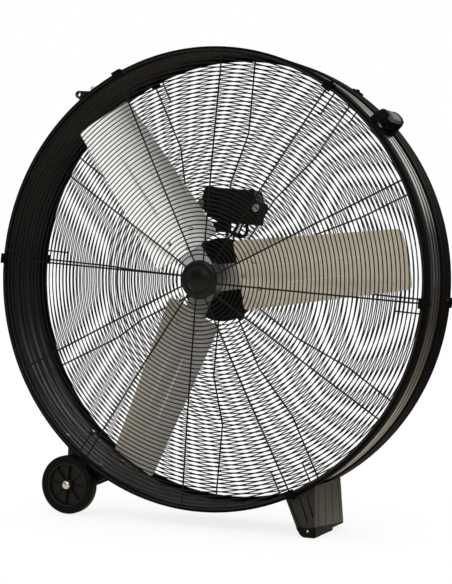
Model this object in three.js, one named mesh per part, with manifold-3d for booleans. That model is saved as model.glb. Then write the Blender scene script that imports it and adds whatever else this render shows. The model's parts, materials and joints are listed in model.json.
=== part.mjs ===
// Large drum fan on one transport wheel and a moulded foot.
//
// Millimetres. +Z is up, the guarded front faces -Y, +X is to the right seen from the front.
// Everything is laid out about the drum's axis: the fan group's origin lies on that axis in the
// plane of the front rim, its +Y runs to the back, and angles turn from +X towards +Z.
// The fan group is then set down so that wheel and foot stand on z = 0.

import * as THREE from 'three';
import { mergeVertices } from 'three/addons/utils/BufferGeometryUtils.js';
import Module from 'manifold-3d';

const wasm = await Module();
wasm.setup();

// ---------------------------------------------------------------- driving dimensions

const degree = Math.PI / 180;
const gap = 0.3;                     // clearance between touching pieces

// Drum
const drumRadius = 550;              // outside of the end collars
const drumDepth = 196;
const drumFacets = 40;
const shellThickness = 1.5;
const collarDepth = 30;              // front collar
const rearCollarDepth = 72;
const wallInset = 4;                 // the rolled wall lies this far inside the collars
const beadDepth = 2.5;
const beadWidth = 14;
const beadCount = 2;
const flangeWidth = 13;              // turned-in flange of both rims

// Wire guards
const ringWire = 1.5;                // radius of the ring wires
const spokeWire = 2;                 // radius of the spokes
const rimWire = 2.5;                 // radius of the ring on the rim
const weldDepth = 0.7;               // how far crossing wires are pressed together
const spokeCount = 12;
const spokeAngle = 25.65 * degree;
const guardFacets = 24;
const guardRimRadius = drumRadius - 9;
const ringPitch = 78;
const frontRingStart = 60;
const frontDome = 12;                // the middle of the front guard stands this far ahead
const rearRingStart = 50;
const recessDepth = 79;              // the rear guard's middle lies this far inside the drum
const recessRadius = 236;            // flat floor of the recess
const recessMouth = 363;             // where its cone meets the rear plane
const stubLength = 62;               // short anchoring rod beside every clip
const stubOffset = 23;
const clipCount = 6;                 // one on every second spoke
const clipAngle = spokeAngle + 30 * degree;
const clipWidth = 24;
const clipThickness = 2.4;
const clipLeg = 13;
const clipHead = 4.5;                // radius of the clip's screw head

// Badge in the middle of the front guard
const badgeRadius = 46.5;
const badgeRingRadius = 30;
const badgeHeight = 7;
const badgeStud = 5;

// Rotor
const bladeCount = 3;
const bladeThickness = 2;
const bladeTipRadius = drumRadius - 53;
const bladeTipLead = 14.65 * degree;     // front edge of the tip, from the blade's datum
const bladeTipTrail = -1.25 * degree;
const bladeRootRadius = 113;
const bladeRootLead = 59 * degree;
const bladeRootTrail = -39.2 * degree;
const bladeMiddle = 42;                  // depth of the blades' middle behind the front rim
const bladeTipPitch = 20.6;              // half the depth that the tip spans
const bladeRootPitch = 35;
const bladeCamber = 6;
const bladeCorner = 11;                  // rounding of the blade's corners
const bladeBulge = 2;                    // how far the tip bows out
const hubRadius = 42;
const armFrom = -0.14;                   // the hub's arms along the blade, as shares of its length
const armTo = 0.16;
const armShare = 0.4;                    // their width as a share of the blade's
const bossRadius = 24;
const bossLength = 50;
const hubWeb = 5;
const armThickness = 3;
const shaftRadius = 9.5;

// Motor
const motorRadius = 86;
const motorPlateThickness = 4;
const motorBoltCircle = 94.5;
const motorBoltAngle = 29.5 * degree;
const motorBoltCount = 4;
const motorBellDepth = 20;
const motorShellDepth = 42;
const motorCapDepth = 16;
const motorRibCount = 16;
const motorRibHeight = 4;
const motorBore = 52;                // the shell is bored for the windings, which are not modelled

// Switch box on the back of the recess
const boxAngle = 86 * degree;
const boxInner = 138;                // radii of its lower and upper edge
const boxOuter = 222;
const boxDepth = 48;
const boxWall = 2.5;
const boxScrewRadius = 180;
const boxScrewSide = 73;
const boxWasherRadius = 9.5;
const knobRadius = 19;
const knobHeight = 17;
const spindleRadius = 3;
const knobSide = 22;
const leadRadius = 3.5;
const leadSide = -44;
const glandSide = 36;
const glandRadius = 8;
const glandBore = 4;

// Transport wheel and its bracket
const wheelRadius = 72.3;
const wheelWidth = 30;
const wheelFace = 14;                // front face of the wheel behind the front rim
const wheelAngle = -125.31 * degree;
const wheelClearance = 9.2;          // between the tread and the drum
const wheelRibCount = 8;
const wheelRibAngle = 11.25 * degree;
const wheelHubRadius = 13;
const wheelHubBoss = 8;              // how far the hub stands out behind the wheel
const axleRadius = 6;
const axleCapRadius = 11;
const saddleThickness = 2.5;
const saddleFrom = wheelAngle - 9.9 * degree;
const saddleTo = wheelAngle + 8.5 * degree;
const saddleSteps = 6;
const cheekFrom = wheelAngle - 8.6 * degree;
const cheekTo = wheelAngle + 7.7 * degree;
const saddleFront = 20;
const saddleBack = drumDepth - 26;
const cheekBack = drumDepth - 46;
const cheekThickness = 3;
const cheekRadius = 20;
const boltRadius = 4;
const boltHead = 8;
const screwRadius = 2.3;

// Foot
const footFront = 17;
const footBack = drumDepth - 4;
const footFlare = 11;                // how far its ends stand out further at the floor than on the drum
const footDraft = 7;                 // the same for its side
const footInnerAngle = -66.8 * degree;
const footOuterAngle = -58.45 * degree;
const footSteps = 5;
const footClip = 4;                  // which of the clips is above it
const footBoltAngle = -63.1 * degree;
const footToeWidth = 41;
const footWall = 4;
const footShell = 6;                 // its roof and side behind the front face
const footPocket = 6;                // the front face lies this deep in its frame
const footGrooveCount = 4;
const footGrooveWidth = 3;
const footGrooveDepth = 2;
const padHeight = 10;
const padFrontLength = 108;

// Handle, on the wall between the collars
const handleAngle = 41.3 * degree;
const handleEnd = 11;                // depth of its brackets
const handleHalfWidth = 24;
const handleSteps = 4;
const handleTabThickness = 3;
const handleTabReach = 9.5;          // half the length of the tab that carries the screw
const handleScrewSide = -4;
const screwHead = 4.5;               // radius of the small screws' heads
const gripOutline = [                // from the wall outwards, and across
  [28, 12], [33, 17.5], [37.5, 15.5], [41, 6], [41, -8], [37.5, -15.5], [31, -19], [28, -15],
];
const rearEndOutline = [[14, 22.5], [34, 19], [38.5, 16], [42, 6], [42, -8], [38.5, -16.5], [30, -20.5]];
const frontEndOutline = [
  [14, 22.5], [34, 19], [38.5, 15], [38, 2], [35, -2], [28, -2.5], [21, 0.5], [15, 3], [4, 4],
];

// Cord hook, on the front collar
const hookAngle = 127.9 * degree;    // where its eye is
const hookFront = 7;
const hookBack = 21;
const hookThickness = 2;
const hookFrom = -5.3 * degree;      // where its foot starts, from the eye
const hookTo = 0.7 * degree;
const hookSteps = 4;
const hookScrewAt = -3.9 * degree;
const hookScrewRise = 9;
const eyeRise = 15.3;                // eye centre above the drum
const eyeRadius = 9.3;
const eyeBore = 5.4;
const eyeFacets = 12;

// ---------------------------------------------------------------- colours

const finish = (color, roughness, metalness) =>
  new THREE.MeshStandardMaterial({ color, roughness, metalness });
const blackEnamel = () => finish(0x25232a, 0.35, 0.25);
const blackWire = () => finish(0x2b2a2c, 0.45, 0.3);
const blackPlastic = () => finish(0x2a282b, 0.6, 0);
const blackRubber = () => finish(0x1d1c1d, 0.85, 0);
const galvanised = () => finish(0xcac4b8, 0.4, 0.7);
const greyMetal = () => finish(0x8f95a3, 0.4, 0.7);
const plated = () => finish(0xd2d2d0, 0.3, 0.9);
const greyPlastic = () => finish(0x8e8b86, 0.6, 0);

// ---------------------------------------------------------------- building blocks

const polar = (radius, angle) => new THREE.Vector2(radius * Math.cos(angle), radius * Math.sin(angle));

function closedGeometry(geometry) {
  const bare = geometry.clone();
  bare.deleteAttribute('normal');
  bare.deleteAttribute('uv');
  return mergeVertices(bare);
}

function toSolid(geometry) {
  const bare = closedGeometry(geometry);
  return new wasm.Manifold(new wasm.Mesh({
    numProp: 3,
    vertProperties: new Float32Array(bare.attributes.position.array),
    triVerts: new Uint32Array(bare.index.array),
  }));
}

function fromSolid(solid) {
  const { vertProperties, triVerts } = solid.getMesh();
  const geometry = new THREE.BufferGeometry();
  geometry.setAttribute('position', new THREE.BufferAttribute(vertProperties, 3));
  geometry.setIndex(new THREE.BufferAttribute(triVerts, 1));
  geometry.computeVertexNormals();
  return geometry;
}

const join = (...pieces) => fromSolid(pieces.map(toSolid).reduce((whole, piece) => whole.add(piece)));

const cut = (body, ...tools) =>
  fromSolid(tools.map(toSolid).reduce((rest, tool) => rest.subtract(tool), toSolid(body)));

// A body of revolution about the drum's axis from [radius, depth] points
function turned(points, facets, startAngle = 0) {
  const outline = points.map(([radius, depth]) => new THREE.Vector2(radius, depth));
  if (THREE.ShapeUtils.area(outline) < 0) outline.reverse();
  outline.push(outline[0].clone());
  return new THREE.LatheGeometry(outline, facets, Math.PI / 2 - startAngle);
}

// A flat outline in X and Z, given thickness from depth front to depth back
function slab(shape, front, back, curveSegments = 6) {
  const depth = back - front;
  const geometry = new THREE.ExtrudeGeometry(shape, { depth, bevelEnabled: false, curveSegments });
  return geometry.rotateX(Math.PI / 2).translate(0, back, 0);
}

const roundHole = (x, z, radius) => new THREE.Path().absarc(x, z, radius, 0, 2 * Math.PI, true);

const polygon = (points) => new THREE.Shape(points.map(([x, z]) => new THREE.Vector2(x, z)));

// A sheet that follows the drum, between two radii and two angles
function curvedSheet(inner, outer, from, to, front, back, steps) {
  const shape = new THREE.Shape();
  shape.absarc(0, 0, inner, from, to, false);
  shape.absarc(0, 0, outer, to, from, true);
  return slab(shape, front, back, steps);
}

// A round bar with its axis along X
function radialBar(radius, from, to, sides = 8) {
  const bar = new THREE.CylinderGeometry(radius, radius, to - from, sides);
  return bar.rotateZ(-Math.PI / 2).translate((from + to) / 2, 0, 0);
}

// A path of straight runs, with a section at every bend
class BentPath extends THREE.Curve {
  constructor(points) {
    super();
    this.points = points;
    this.runs = points.length - 1;
  }

  getPointAt(share) {
    const run = Math.min(Math.floor(share * this.runs), this.runs - 1);
    return this.points[run].clone().lerp(this.points[run + 1], share * this.runs - run);
  }

  getTangentAt(share) {
    const bend = Math.round(share * this.runs);
    const direction = (run) => this.points[run + 1].clone().sub(this.points[run]).normalize();
    const before = direction(Math.max(bend - 1, 0));
    return before.add(direction(Math.min(bend, this.runs - 1))).normalize();
  }
}

// A wire along a path: four-sided, with an edge to the front
function wire(points, radius) {
  const section = new THREE.Shape([0, 1, 2, 3].map((k) => polar(radius, k * Math.PI / 2)));
  return new THREE.ExtrudeGeometry(section, {
    steps: points.length - 1, extrudePath: new BentPath(points), bevelEnabled: false,
  });
}

// The radius of a faceted bore that clears a round bar
const boreFor = (radius, sides) => (radius + gap) / Math.cos(Math.PI / sides);

// The radius of a sheet, drawn in steps over a span of angle, that lies on a round face
const seatOn = (radius, span, steps) => (radius + gap) / Math.cos(span / steps / 2);

const onStation = (geometry, angle) => geometry.rotateY(-angle);

function onStationPoint(radial, depth, tangential, angle) {
  return new THREE.Vector3(radial, depth, tangential).applyAxisAngle(new THREE.Vector3(0, 1, 0), -angle);
}

const fan = new THREE.Group();

function station(angle) {
  const group = new THREE.Group();
  group.rotation.y = -angle;
  fan.add(group);
  return group;
}

function addPiece(name, geometry, material, parent = fan) {
  const mesh = new THREE.Mesh(geometry, material);
  mesh.name = name;
  parent.add(mesh);
  return mesh;
}

// ---------------------------------------------------------------- drum

const wallRadius = drumRadius - shellThickness / 2;
const rearCollarStart = drumDepth - rearCollarDepth;
const wallStart = collarDepth + wallInset;
const wallEnd = rearCollarStart - wallInset;
const facetSag = Math.cos(Math.PI / drumFacets);

// Where a flat head of the given reach seats on the inside of the shell
function insideSeat(depth, reach) {
  const onWall = depth + reach > collarDepth && depth - reach < rearCollarStart;
  const radius = onWall ? wallRadius - wallInset : wallRadius;
  return (radius - shellThickness / 2) * facetSag - gap;
}

function drumShell(holes) {
  const half = shellThickness / 2;
  const wall = wallRadius - wallInset;
  const beadPitch = (wallEnd - wallStart) / (beadCount + 1);
  const outside = [[drumRadius - flangeWidth, 0], [drumRadius, 0], [drumRadius, collarDepth]];
  const inside = [
    [drumRadius - flangeWidth, shellThickness],
    [wallRadius - half, shellThickness],
    [wallRadius - half, collarDepth],
  ];
  const along = (radius, depth) => {
    outside.push([radius + half, depth]);
    inside.push([radius - half, depth]);
  };
  along(wall, wallStart);
  for (let i = 1; i <= beadCount; i += 1) {
    const middle = wallStart + i * beadPitch;
    along(wall, middle - beadWidth / 2);
    along(wall - beadDepth, middle);
    along(wall, middle + beadWidth / 2);
  }
  along(wall, wallEnd);
  outside.push([drumRadius, rearCollarStart], [drumRadius, drumDepth], [drumRadius - flangeWidth, drumDepth]);
  inside.push(
    [wallRadius - half, rearCollarStart],
    [wallRadius - half, drumDepth - shellThickness],
    [drumRadius - flangeWidth, drumDepth - shellThickness],
  );
  return cut(turned([...outside, ...inside.reverse()], drumFacets), ...holes);
}

// ---------------------------------------------------------------- wire guards

const frontSpokePath = [
  [badgeRingRadius - 2, -frontDome - spokeWire - gap],
  [frontRingStart, -frontDome - spokeWire - gap],
  [300, -frontDome * 0.7 - spokeWire - gap],
  [guardRimRadius - 12, -spokeWire - gap],
  [guardRimRadius, -spokeWire - gap],
];
const recessFloor = drumDepth - recessDepth;
const rearPlane = drumDepth + spokeWire + gap;
const rearSpokePath = [
  [rearRingStart - 2, recessFloor],
  [recessRadius, recessFloor],
  [recessMouth, rearPlane],
  [guardRimRadius, rearPlane],
];

function depthAlong(path, radius) {
  const next = path.findIndex(([r]) => r >= radius);
  if (next < 1) return path[next < 0 ? path.length - 1 : 0][1];
  const [r0, y0] = path[next - 1];
  const [r1, y1] = path[next];
  return y0 + (y1 - y0) * (radius - r0) / (r1 - r0);
}

function wireRing(radius, depth, wireRadius, facets) {
  const flat = radius / Math.cos(Math.PI / facets);
  const section = [
    [flat - wireRadius, depth],
    [flat, depth - wireRadius],
    [flat + wireRadius, depth],
    [flat, depth + wireRadius],
  ];
  return turned(section, facets, spokeAngle + Math.PI / facets);
}

const aroundFrom = (start, count) => Array.from({ length: count }, (_, k) => start + k * 2 * Math.PI / count);
const spokeAngles = aroundFrom(spokeAngle, spokeCount);
const clipAngles = aroundFrom(clipAngle, clipCount);

// The rings lie on the front of the spokes in both guards, where they are welded on
function wireGuard(path, innerRing, ringStart, rimDepth) {
  const ringLift = spokeWire + ringWire - weldDepth;
  const parts = spokeAngles.map((angle) => {
    const points = path.map(([radius, depth]) => onStationPoint(radius, depth, 0, angle));
    return wire(points, spokeWire);
  });
  const radii = [];
  if (innerRing < ringStart) radii.push(innerRing);
  const last = guardRimRadius - ringPitch / 4;
  for (let radius = ringStart; radius < last; radius += ringPitch) radii.push(radius);
  for (const radius of radii) {
    parts.push(wireRing(radius, depthAlong(path, radius) - ringLift, ringWire, guardFacets));
  }
  parts.push(wireRing(guardRimRadius, rimDepth, rimWire, guardFacets));
  const stubDepth = depthAlong(path, guardRimRadius);
  for (const angle of clipAngles) {
    const from = new THREE.Vector3(guardRimRadius - stubLength, stubDepth, -stubOffset);
    const to = new THREE.Vector3(guardRimRadius - 1, stubDepth, -stubOffset);
    parts.push(onStation(wire([from, to], spokeWire * 0.9), angle));
  }
  return join(...parts);
}

// A bent strap over the rim that holds a guard, with its screw head on the outside of the drum
function rimClip(rimFace, outward) {
  const top = rimFace + outward * (2 * rimWire + 2 * gap);
  const over = top + outward * clipThickness;
  const legEnd = rimFace - outward * clipLeg;
  const inner = guardRimRadius - 8;
  const legInside = drumRadius + gap;
  const legOutside = legInside + clipThickness;
  const half = clipWidth / 2;
  const plate = (from, front, back) => slab(
    polygon([[from, -half], [legOutside, -half], [legOutside, half], [from, half]]),
    Math.min(front, back), Math.max(front, back),
  );
  const strap = plate(inner, top, over);
  const leg = plate(legInside, over, legEnd);
  const head = radialBar(clipHead, legOutside - 0.5, legOutside + 4, 6);
  return join(strap, leg, head.translate(0, rimFace - outward * clipLeg / 2, 0));
}

// ---------------------------------------------------------------- badge

function hubBadge() {
  const seat = -frontDome - 2 * spokeWire - 2 * gap;
  const face = seat - badgeHeight;
  return turned([
    [0, face + 2], [badgeRingRadius - 3, face + 2], [badgeRingRadius, face], [badgeRadius - 6, face + 1],
    [badgeRadius, seat - 2], [badgeRadius, seat], [badgeRadius - 3, seat], [badgeRadius - 5, face + 4],
    [badgeStud, face + 4], [badgeStud, -frontDome + 3], [0, -frontDome + 3],
  ], 20);
}

function badgeWasher() {
  const front = -frontDome;
  const bore = boreFor(badgeStud, 12);
  const edge = badgeRingRadius + 4;
  return turned([[bore, front], [edge, front], [edge, front + 2], [bore, front + 2]], 12);
}

// ---------------------------------------------------------------- rotor

const bladeAngles = aroundFrom(0, bladeCount);

const cornerTrim = (distance) => (distance >= bladeCorner ? 0
  : bladeCorner - Math.sqrt(bladeCorner ** 2 - (bladeCorner - distance) ** 2));

// A point of the blade's sheet: along 0 at the root to 1 at the tip, across -1 at the trailing edge to 1
function bladePoint(along, across) {
  const rootLead = polar(bladeRootRadius, bladeRootLead);
  const rootTrail = polar(bladeRootRadius, bladeRootTrail);
  const tipLead = polar(bladeTipRadius, bladeTipLead);
  const tipTrail = polar(bladeTipRadius, bladeTipTrail);
  const lead = rootLead.clone().lerp(tipLead, along);
  const trail = rootTrail.clone().lerp(tipTrail, along);
  const length = tipLead.distanceTo(rootLead);
  const halfChord = lead.distanceTo(trail) / 2;
  const inside = Math.max(0, Math.min(along, 1 - along)) * length;
  const width = along < 0 ? 1 : 1 - cornerTrim(inside) / halfChord;
  const spot = trail.lerp(lead, 0.5 + across * width / 2);
  const tipBulge = bladeBulge * (1 - across ** 2) * Math.max(0, along);
  const pitch = bladeRootPitch + (bladeTipPitch - bladeRootPitch) * along;
  const depth = bladeMiddle - pitch * across * width + bladeCamber * (1 - across ** 2);
  return new THREE.Vector3(spot.x + tipBulge, depth, spot.y);
}

// A sheet on the blade's surface, lying behind it by lift
function bladeSheet(from, to, reach, lift, thickness, rows, columns) {
  const geometry = new THREE.BoxGeometry(1, 1, 1, rows, columns, 1);
  const position = geometry.attributes.position;
  for (let i = 0; i < position.count; i += 1) {
    const share = 0.5 - 0.5 * Math.cos(Math.PI * (position.getX(i) + 0.5));
    const point = bladePoint(from + (to - from) * share, 2 * reach * position.getY(i));
    position.setXYZ(i, point.x, point.y + lift - thickness * position.getZ(i), point.z);
  }
  return geometry;
}

function bladeHub() {
  const start = bladeMiddle - bossLength / 2;
  const web = bladeMiddle + 4;
  const hub = turned([
    [shaftRadius + gap, start], [bossRadius, start], [bossRadius, web - hubWeb], [hubRadius, web - hubWeb],
    [hubRadius, web], [bossRadius, web], [bossRadius, start + bossLength],
    [shaftRadius + gap, start + bossLength],
  ], 20);
  const lift = bladeThickness / 2 + 2 * gap + armThickness / 2;
  const arms = bladeAngles.map((angle) => {
    const arm = bladeSheet(armFrom, armTo, armShare, lift, armThickness, 3, 2);
    return onStation(arm, angle);
  });
  return join(hub, ...arms);
}

function motorShaft(end) {
  const start = bladeMiddle - bossLength / 2 - 10;
  return turned([
    [0, start], [shaftRadius - 1, start], [shaftRadius, start + 1], [shaftRadius, end], [0, end],
  ], 16);
}

// ---------------------------------------------------------------- motor

const plateFront = recessFloor + spokeWire + gap;
const plateBack = plateFront + motorPlateThickness;
const bellFront = plateBack + gap;
const bellBack = bellFront + motorBellDepth;
const shellBack = bellBack + gap + motorShellDepth;
const capBack = shellBack + gap + motorCapDepth;
const shaftEnd = bellFront + 12;
const motorBoltAngles = aroundFrom(motorBoltAngle, motorBoltCount);

function motorPlate() {
  const earRadius = 13;
  const neck = 11 * degree;
  const shape = new THREE.Shape();
  motorBoltAngles.forEach((angle) => {
    const ear = polar(motorBoltCircle, angle);
    shape.absarc(0, 0, motorRadius - 6, angle - 2 * Math.PI / motorBoltCount + 2 * neck, angle - neck, false);
    shape.absarc(ear.x, ear.y, earRadius, angle - 75 * degree, angle + 75 * degree, false);
  });
  shape.holes.push(roundHole(0, 0, shaftRadius + 8));
  motorBoltAngles.forEach((angle) => {
    const spot = polar(motorBoltCircle, angle);
    shape.holes.push(roundHole(spot.x, spot.y, boreFor(boltRadius, 8)));
  });
  return slab(shape, plateFront, plateBack, 3);
}

function motorBell() {
  const shoulder = bellFront + 6;
  return turned([
    [shaftRadius + gap, bellFront], [motorRadius - 14, bellFront], [motorRadius - 4, shoulder],
    [motorRadius, shoulder + 4], [motorRadius, bellBack], [0, bellBack], [0, shaftEnd + gap],
    [shaftRadius + gap, shaftEnd + gap],
  ], 24);
}

function motorShell() {
  const core = motorRadius - motorRibHeight;
  const shape = new THREE.Shape();
  const pitch = 2 * Math.PI / motorRibCount;
  for (let k = 0; k < motorRibCount; k += 1) {
    const middle = k * pitch;
    const corners = [[core, -0.22], [motorRadius, -0.16], [motorRadius, 0.16], [core, 0.22]];
    corners.forEach(([radius, share], i) => {
      const spot = polar(radius, middle + share * pitch);
      if (k === 0 && i === 0) shape.moveTo(spot.x, spot.y);
      else shape.lineTo(spot.x, spot.y);
    });
  }
  shape.holes.push(roundHole(0, 0, motorBore));
  return slab(shape, bellBack + gap, shellBack, 8);
}

function motorRearCap() {
  const start = shellBack + gap;
  const inside = capBack - 7;
  const boss = 27;
  return turned([
    [0, inside], [motorRadius - 16, inside], [motorRadius - 8, start], [motorRadius, start],
    [motorRadius, start + 6], [motorRadius - 10, capBack - 3], [boss + 3, capBack - 3], [boss, capBack],
    [0, capBack],
  ], 24);
}

function motorBolt() {
  const headBack = recessFloor - spokeWire - gap;
  const nut = boltHead - 1.5;
  return turned([
    [0, headBack - 6], [boltHead, headBack - 6], [boltHead, headBack], [boltRadius, headBack],
    [boltRadius, plateBack + gap], [nut, plateBack + gap], [nut, plateBack + 6], [0, plateBack + 6],
  ], 6);
}

// ---------------------------------------------------------------- switch box

const boxFront = plateFront;
const boxBack = boxFront + boxDepth;
const boxMiddle = boxFront + boxDepth / 2;
const knobPlace = [(boxInner + boxOuter) / 2 + 6, 0, knobSide];

// Two ears carry the screws, and its lower corner is cut off beside the motor
function boxOutline(inset) {
  const ear = 10;
  const neck = ear + 5;
  const lip = boxScrewSide + ear - 1 - inset;
  const outerSide = 67;
  const cutSide = 51;
  const cutFoot = 24;
  return polygon([
    [boxOuter - inset, outerSide - inset],
    [boxScrewRadius + neck, boxScrewSide - inset],
    [boxScrewRadius + ear - inset / 2, lip],
    [boxScrewRadius - ear + inset / 2, lip],
    [boxScrewRadius - neck - 1, boxScrewSide - 8 - inset],
    [boxInner + 12, cutSide - inset],
    [boxInner + inset, cutFoot - inset / 2],
    [boxInner + inset, inset - boxScrewSide],
    [boxScrewRadius - neck, inset - boxScrewSide - 2],
    [boxScrewRadius - ear + inset / 2, -lip],
    [boxScrewRadius + ear - inset / 2, -lip],
    [boxScrewRadius + neck, inset - boxScrewSide + 1],
    [boxOuter - inset, inset - outerSide + 5],
  ]);
}

const leadHole = () => radialBar(boreFor(leadRadius, 8), boxInner - 6, boxInner + 8, 8);
const glandPlace = [0, boxMiddle, glandSide];
const leadPlace = [0, boxMiddle, leadSide];

function switchBox() {
  const screwBore = (side) => slab(
    new THREE.Shape().absarc(boxScrewRadius, side, boreFor(boltRadius - 1, 6), 0, 2 * Math.PI, false),
    boxFront - 1, boxFront + boxWall + 1, 3,
  );
  return cut(
    slab(boxOutline(0), boxFront, boxBack),
    slab(boxOutline(boxWall), boxFront + boxWall, boxBack + 1),
    screwBore(boxScrewSide), screwBore(-boxScrewSide),
    radialBar(boreFor(glandRadius, 10), boxInner - 6, boxInner + 14, 10).translate(...glandPlace),
    leadHole().translate(...leadPlace),
  );
}

function switchBoxCover() {
  const spindleBore = slab(
    new THREE.Shape().absarc(knobPlace[0], knobPlace[2], boreFor(spindleRadius, 8), 0, 2 * Math.PI, false),
    boxBack, boxBack + 8, 4,
  );
  return cut(slab(boxOutline(0), boxBack + gap, boxBack + gap + boxWall), spindleBore);
}

// The knob turns about its own axis on the cover, with a pointer ridge towards the box's top
function speedKnob() {
  const seat = boxBack + gap + boxWall + gap;
  const body = turned([
    [0, seat - boxWall - 10], [spindleRadius, seat - boxWall - 10], [spindleRadius, seat], [knobRadius, seat],
    [knobRadius, seat + 4], [knobRadius - 3, seat + knobHeight], [0, seat + knobHeight],
  ], 16);
  const ridge = slab(polygon([[-4, -3], [knobRadius - 1, -3], [knobRadius - 1, 3], [-4, 3]]),
    seat + knobHeight - 1, seat + knobHeight + 4);
  return join(body, ridge);
}

function cableGland() {
  const flange = glandRadius + 2;
  const outline = [
    [boxInner - 16, glandBore], [boxInner - 16, glandRadius], [boxInner - 5, flange],
    [boxInner - gap, flange], [boxInner - gap, glandRadius], [boxInner + 6, glandRadius],
    [boxInner + 6, 0], [boxInner - 4, 0], [boxInner - 4, glandBore],
  ];
  const points = outline.map(([along, radius]) => [radius, along]);
  return turned(points, 12).rotateZ(-Math.PI / 2);
}

function screwAndWasher() {
  const seat = recessFloor - spokeWire - gap;
  const end = boxFront + boxWall + 5;
  return turned([
    [0, seat - 4.5], [4, seat - 4.5], [5.5, seat - 2], [boxWasherRadius, seat - 2], [boxWasherRadius, seat],
    [boltRadius - 1, seat], [boltRadius - 1, end], [0, end],
  ], 12);
}

function motorLead() {
  const middle = bellBack + gap + motorShellDepth / 2;
  const route = [
    [boxInner + 4, boxMiddle, leadSide],
    [boxInner, boxMiddle, leadSide],
    [boxInner - 18, boxMiddle, leadSide - 6],
    [motorRadius + 26, middle + 6, leadSide - 2],
    [motorRadius + 17, middle + 4, leadSide + 18],
    [motorRadius + 11, middle, leadSide + 34],
    [motorRadius + leadRadius - 2.6, middle, 0],
  ].map((spot) => onStationPoint(...spot, boxAngle));
  const section = new THREE.Shape().absarc(0, 0, leadRadius, 0, 2 * Math.PI, false);
  return new THREE.ExtrudeGeometry(section, {
    steps: 14, curveSegments: 4, bevelEnabled: false, extrudePath: new THREE.CatmullRomCurve3(route),
  });
}

// ---------------------------------------------------------------- wheel and bracket

const saddleInner = seatOn(drumRadius, saddleTo - saddleFrom, saddleSteps);
const saddleOuter = saddleInner + saddleThickness;
const wheelCentre = polar(drumRadius + wheelClearance + wheelRadius, wheelAngle);
const axisHeight = wheelRadius - wheelCentre.y;
const hubBack = wheelFace + wheelWidth + wheelHubBoss;
const cheekFront = hubBack + gap;
const boltFrom = wheelAngle - 7.9 * degree;
const boltTo = wheelAngle + 3.9 * degree;
const bracketBolts = [
  [boltFrom, saddleFront + 11],
  [boltFrom, saddleBack - 8],
  [boltTo, saddleFront + 19],
  [boltTo, saddleBack - 8],
];

const boltHole = ([angle, depth], from, to) =>
  onStation(radialBar(boreFor(boltRadius, 8), from, to, 8).translate(0, depth, 0), angle);

function cheekOutline() {
  const base = saddleInner + saddleThickness / 2;
  const tangent = (corner, side) => {
    const out = corner.clone().sub(wheelCentre);
    return out.angle() + side * Math.acos(cheekRadius / out.length());
  };
  const shape = new THREE.Shape();
  const start = tangent(polar(base, cheekFrom), 1);
  const end = tangent(polar(base, cheekTo), -1);
  shape.absarc(0, 0, base, cheekTo, cheekFrom, true);
  shape.absarc(wheelCentre.x, wheelCentre.y, cheekRadius, start, end, false);
  shape.holes.push(roundHole(wheelCentre.x, wheelCentre.y, axleRadius + gap));
  return shape;
}

function wheelBracket() {
  const saddle = curvedSheet(
    saddleInner, saddleOuter, saddleFrom, saddleTo, saddleFront, saddleBack, saddleSteps,
  );
  const cheeks = [cheekFront, cheekBack].map((front) => {
    const back = front + cheekThickness;
    return slab(cheekOutline(), front, back, 5);
  });
  const holes = bracketBolts.map((bolt) => boltHole(bolt, drumRadius - 3, drumRadius + 12));
  return cut(join(saddle, ...cheeks), ...holes);
}

// Through bolt: domed head inside the drum, nut on the outside at radius seat
function throughBolt(depth, seat) {
  const inside = insideSeat(depth, boltHead);
  const outline = [
    [0, inside - 5], [boltHead * 0.6, inside - 4.4], [boltHead, inside - 1.5], [boltHead, inside],
    [boltRadius, inside], [boltRadius, seat + gap], [boltHead - 1, seat + gap], [boltHead - 1, seat + 5],
    [0, seat + 5],
  ];
  return turned(outline, 6).rotateZ(-Math.PI / 2);
}

function transportWheel() {
  const back = wheelFace + wheelWidth;
  const middle = wheelFace + wheelWidth / 2;
  const tread = wheelRadius;
  const dish = wheelRadius - 14;
  const body = turned([
    [axleRadius + gap, wheelFace + 2], [wheelHubRadius, wheelFace + 2], [wheelHubRadius, middle - 5],
    [dish - 4, middle - 5], [dish, wheelFace + 1], [tread - 3, wheelFace],
    [tread, wheelFace + 4], [tread, back - 4], [tread - 3, back],
    [dish, back - 1], [dish - 4, middle + 4], [wheelHubRadius, middle + 4],
    [wheelHubRadius, hubBack], [axleRadius + gap, hubBack],
  ], 24);
  const half = 1.5;
  const start = wheelHubRadius - 2;
  const end = dish - 1;
  const ribs = aroundFrom(wheelRibAngle, wheelRibCount).map((angle) => onStation(
    slab(polygon([[start, -half], [end, -half], [end, half], [start, half]]), wheelFace + 5, middle),
    angle,
  ));
  return join(body, ...ribs);
}

function wheelAxle() {
  const headFront = cheekBack + cheekThickness + gap;
  return turned([
    [0, wheelFace - 1], [axleRadius, wheelFace - 1], [axleRadius, headFront], [axleRadius + 4, headFront],
    [axleRadius + 4, headFront + 6], [0, headFront + 6],
  ], 12);
}

function axleCap() {
  const back = wheelFace + 2 - gap;
  const dome = 8;
  const floor = wheelFace - 1 - gap;
  return turned([
    [axleRadius + gap, back], [axleCapRadius, back], [axleCapRadius, back - 2.5],
    [axleCapRadius * 0.75, back - 6], [axleCapRadius * 0.3, back - dome], [0, back - dome],
    [0, floor], [axleRadius + gap, floor],
  ], 12);
}

// ---------------------------------------------------------------- foot

const floorDepth = -axisHeight;
const padTop = floorDepth + padHeight;
const footBottom = padTop + gap;
const footSeat = seatOn(drumRadius, footOuterAngle - footInnerAngle, footSteps);
const footCorner = polar(footSeat, footOuterAngle);
const footSide = footCorner.x;
const footBolts = [[footBoltAngle, footFront + 26], [footBoltAngle, footBack - 32]];

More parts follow.
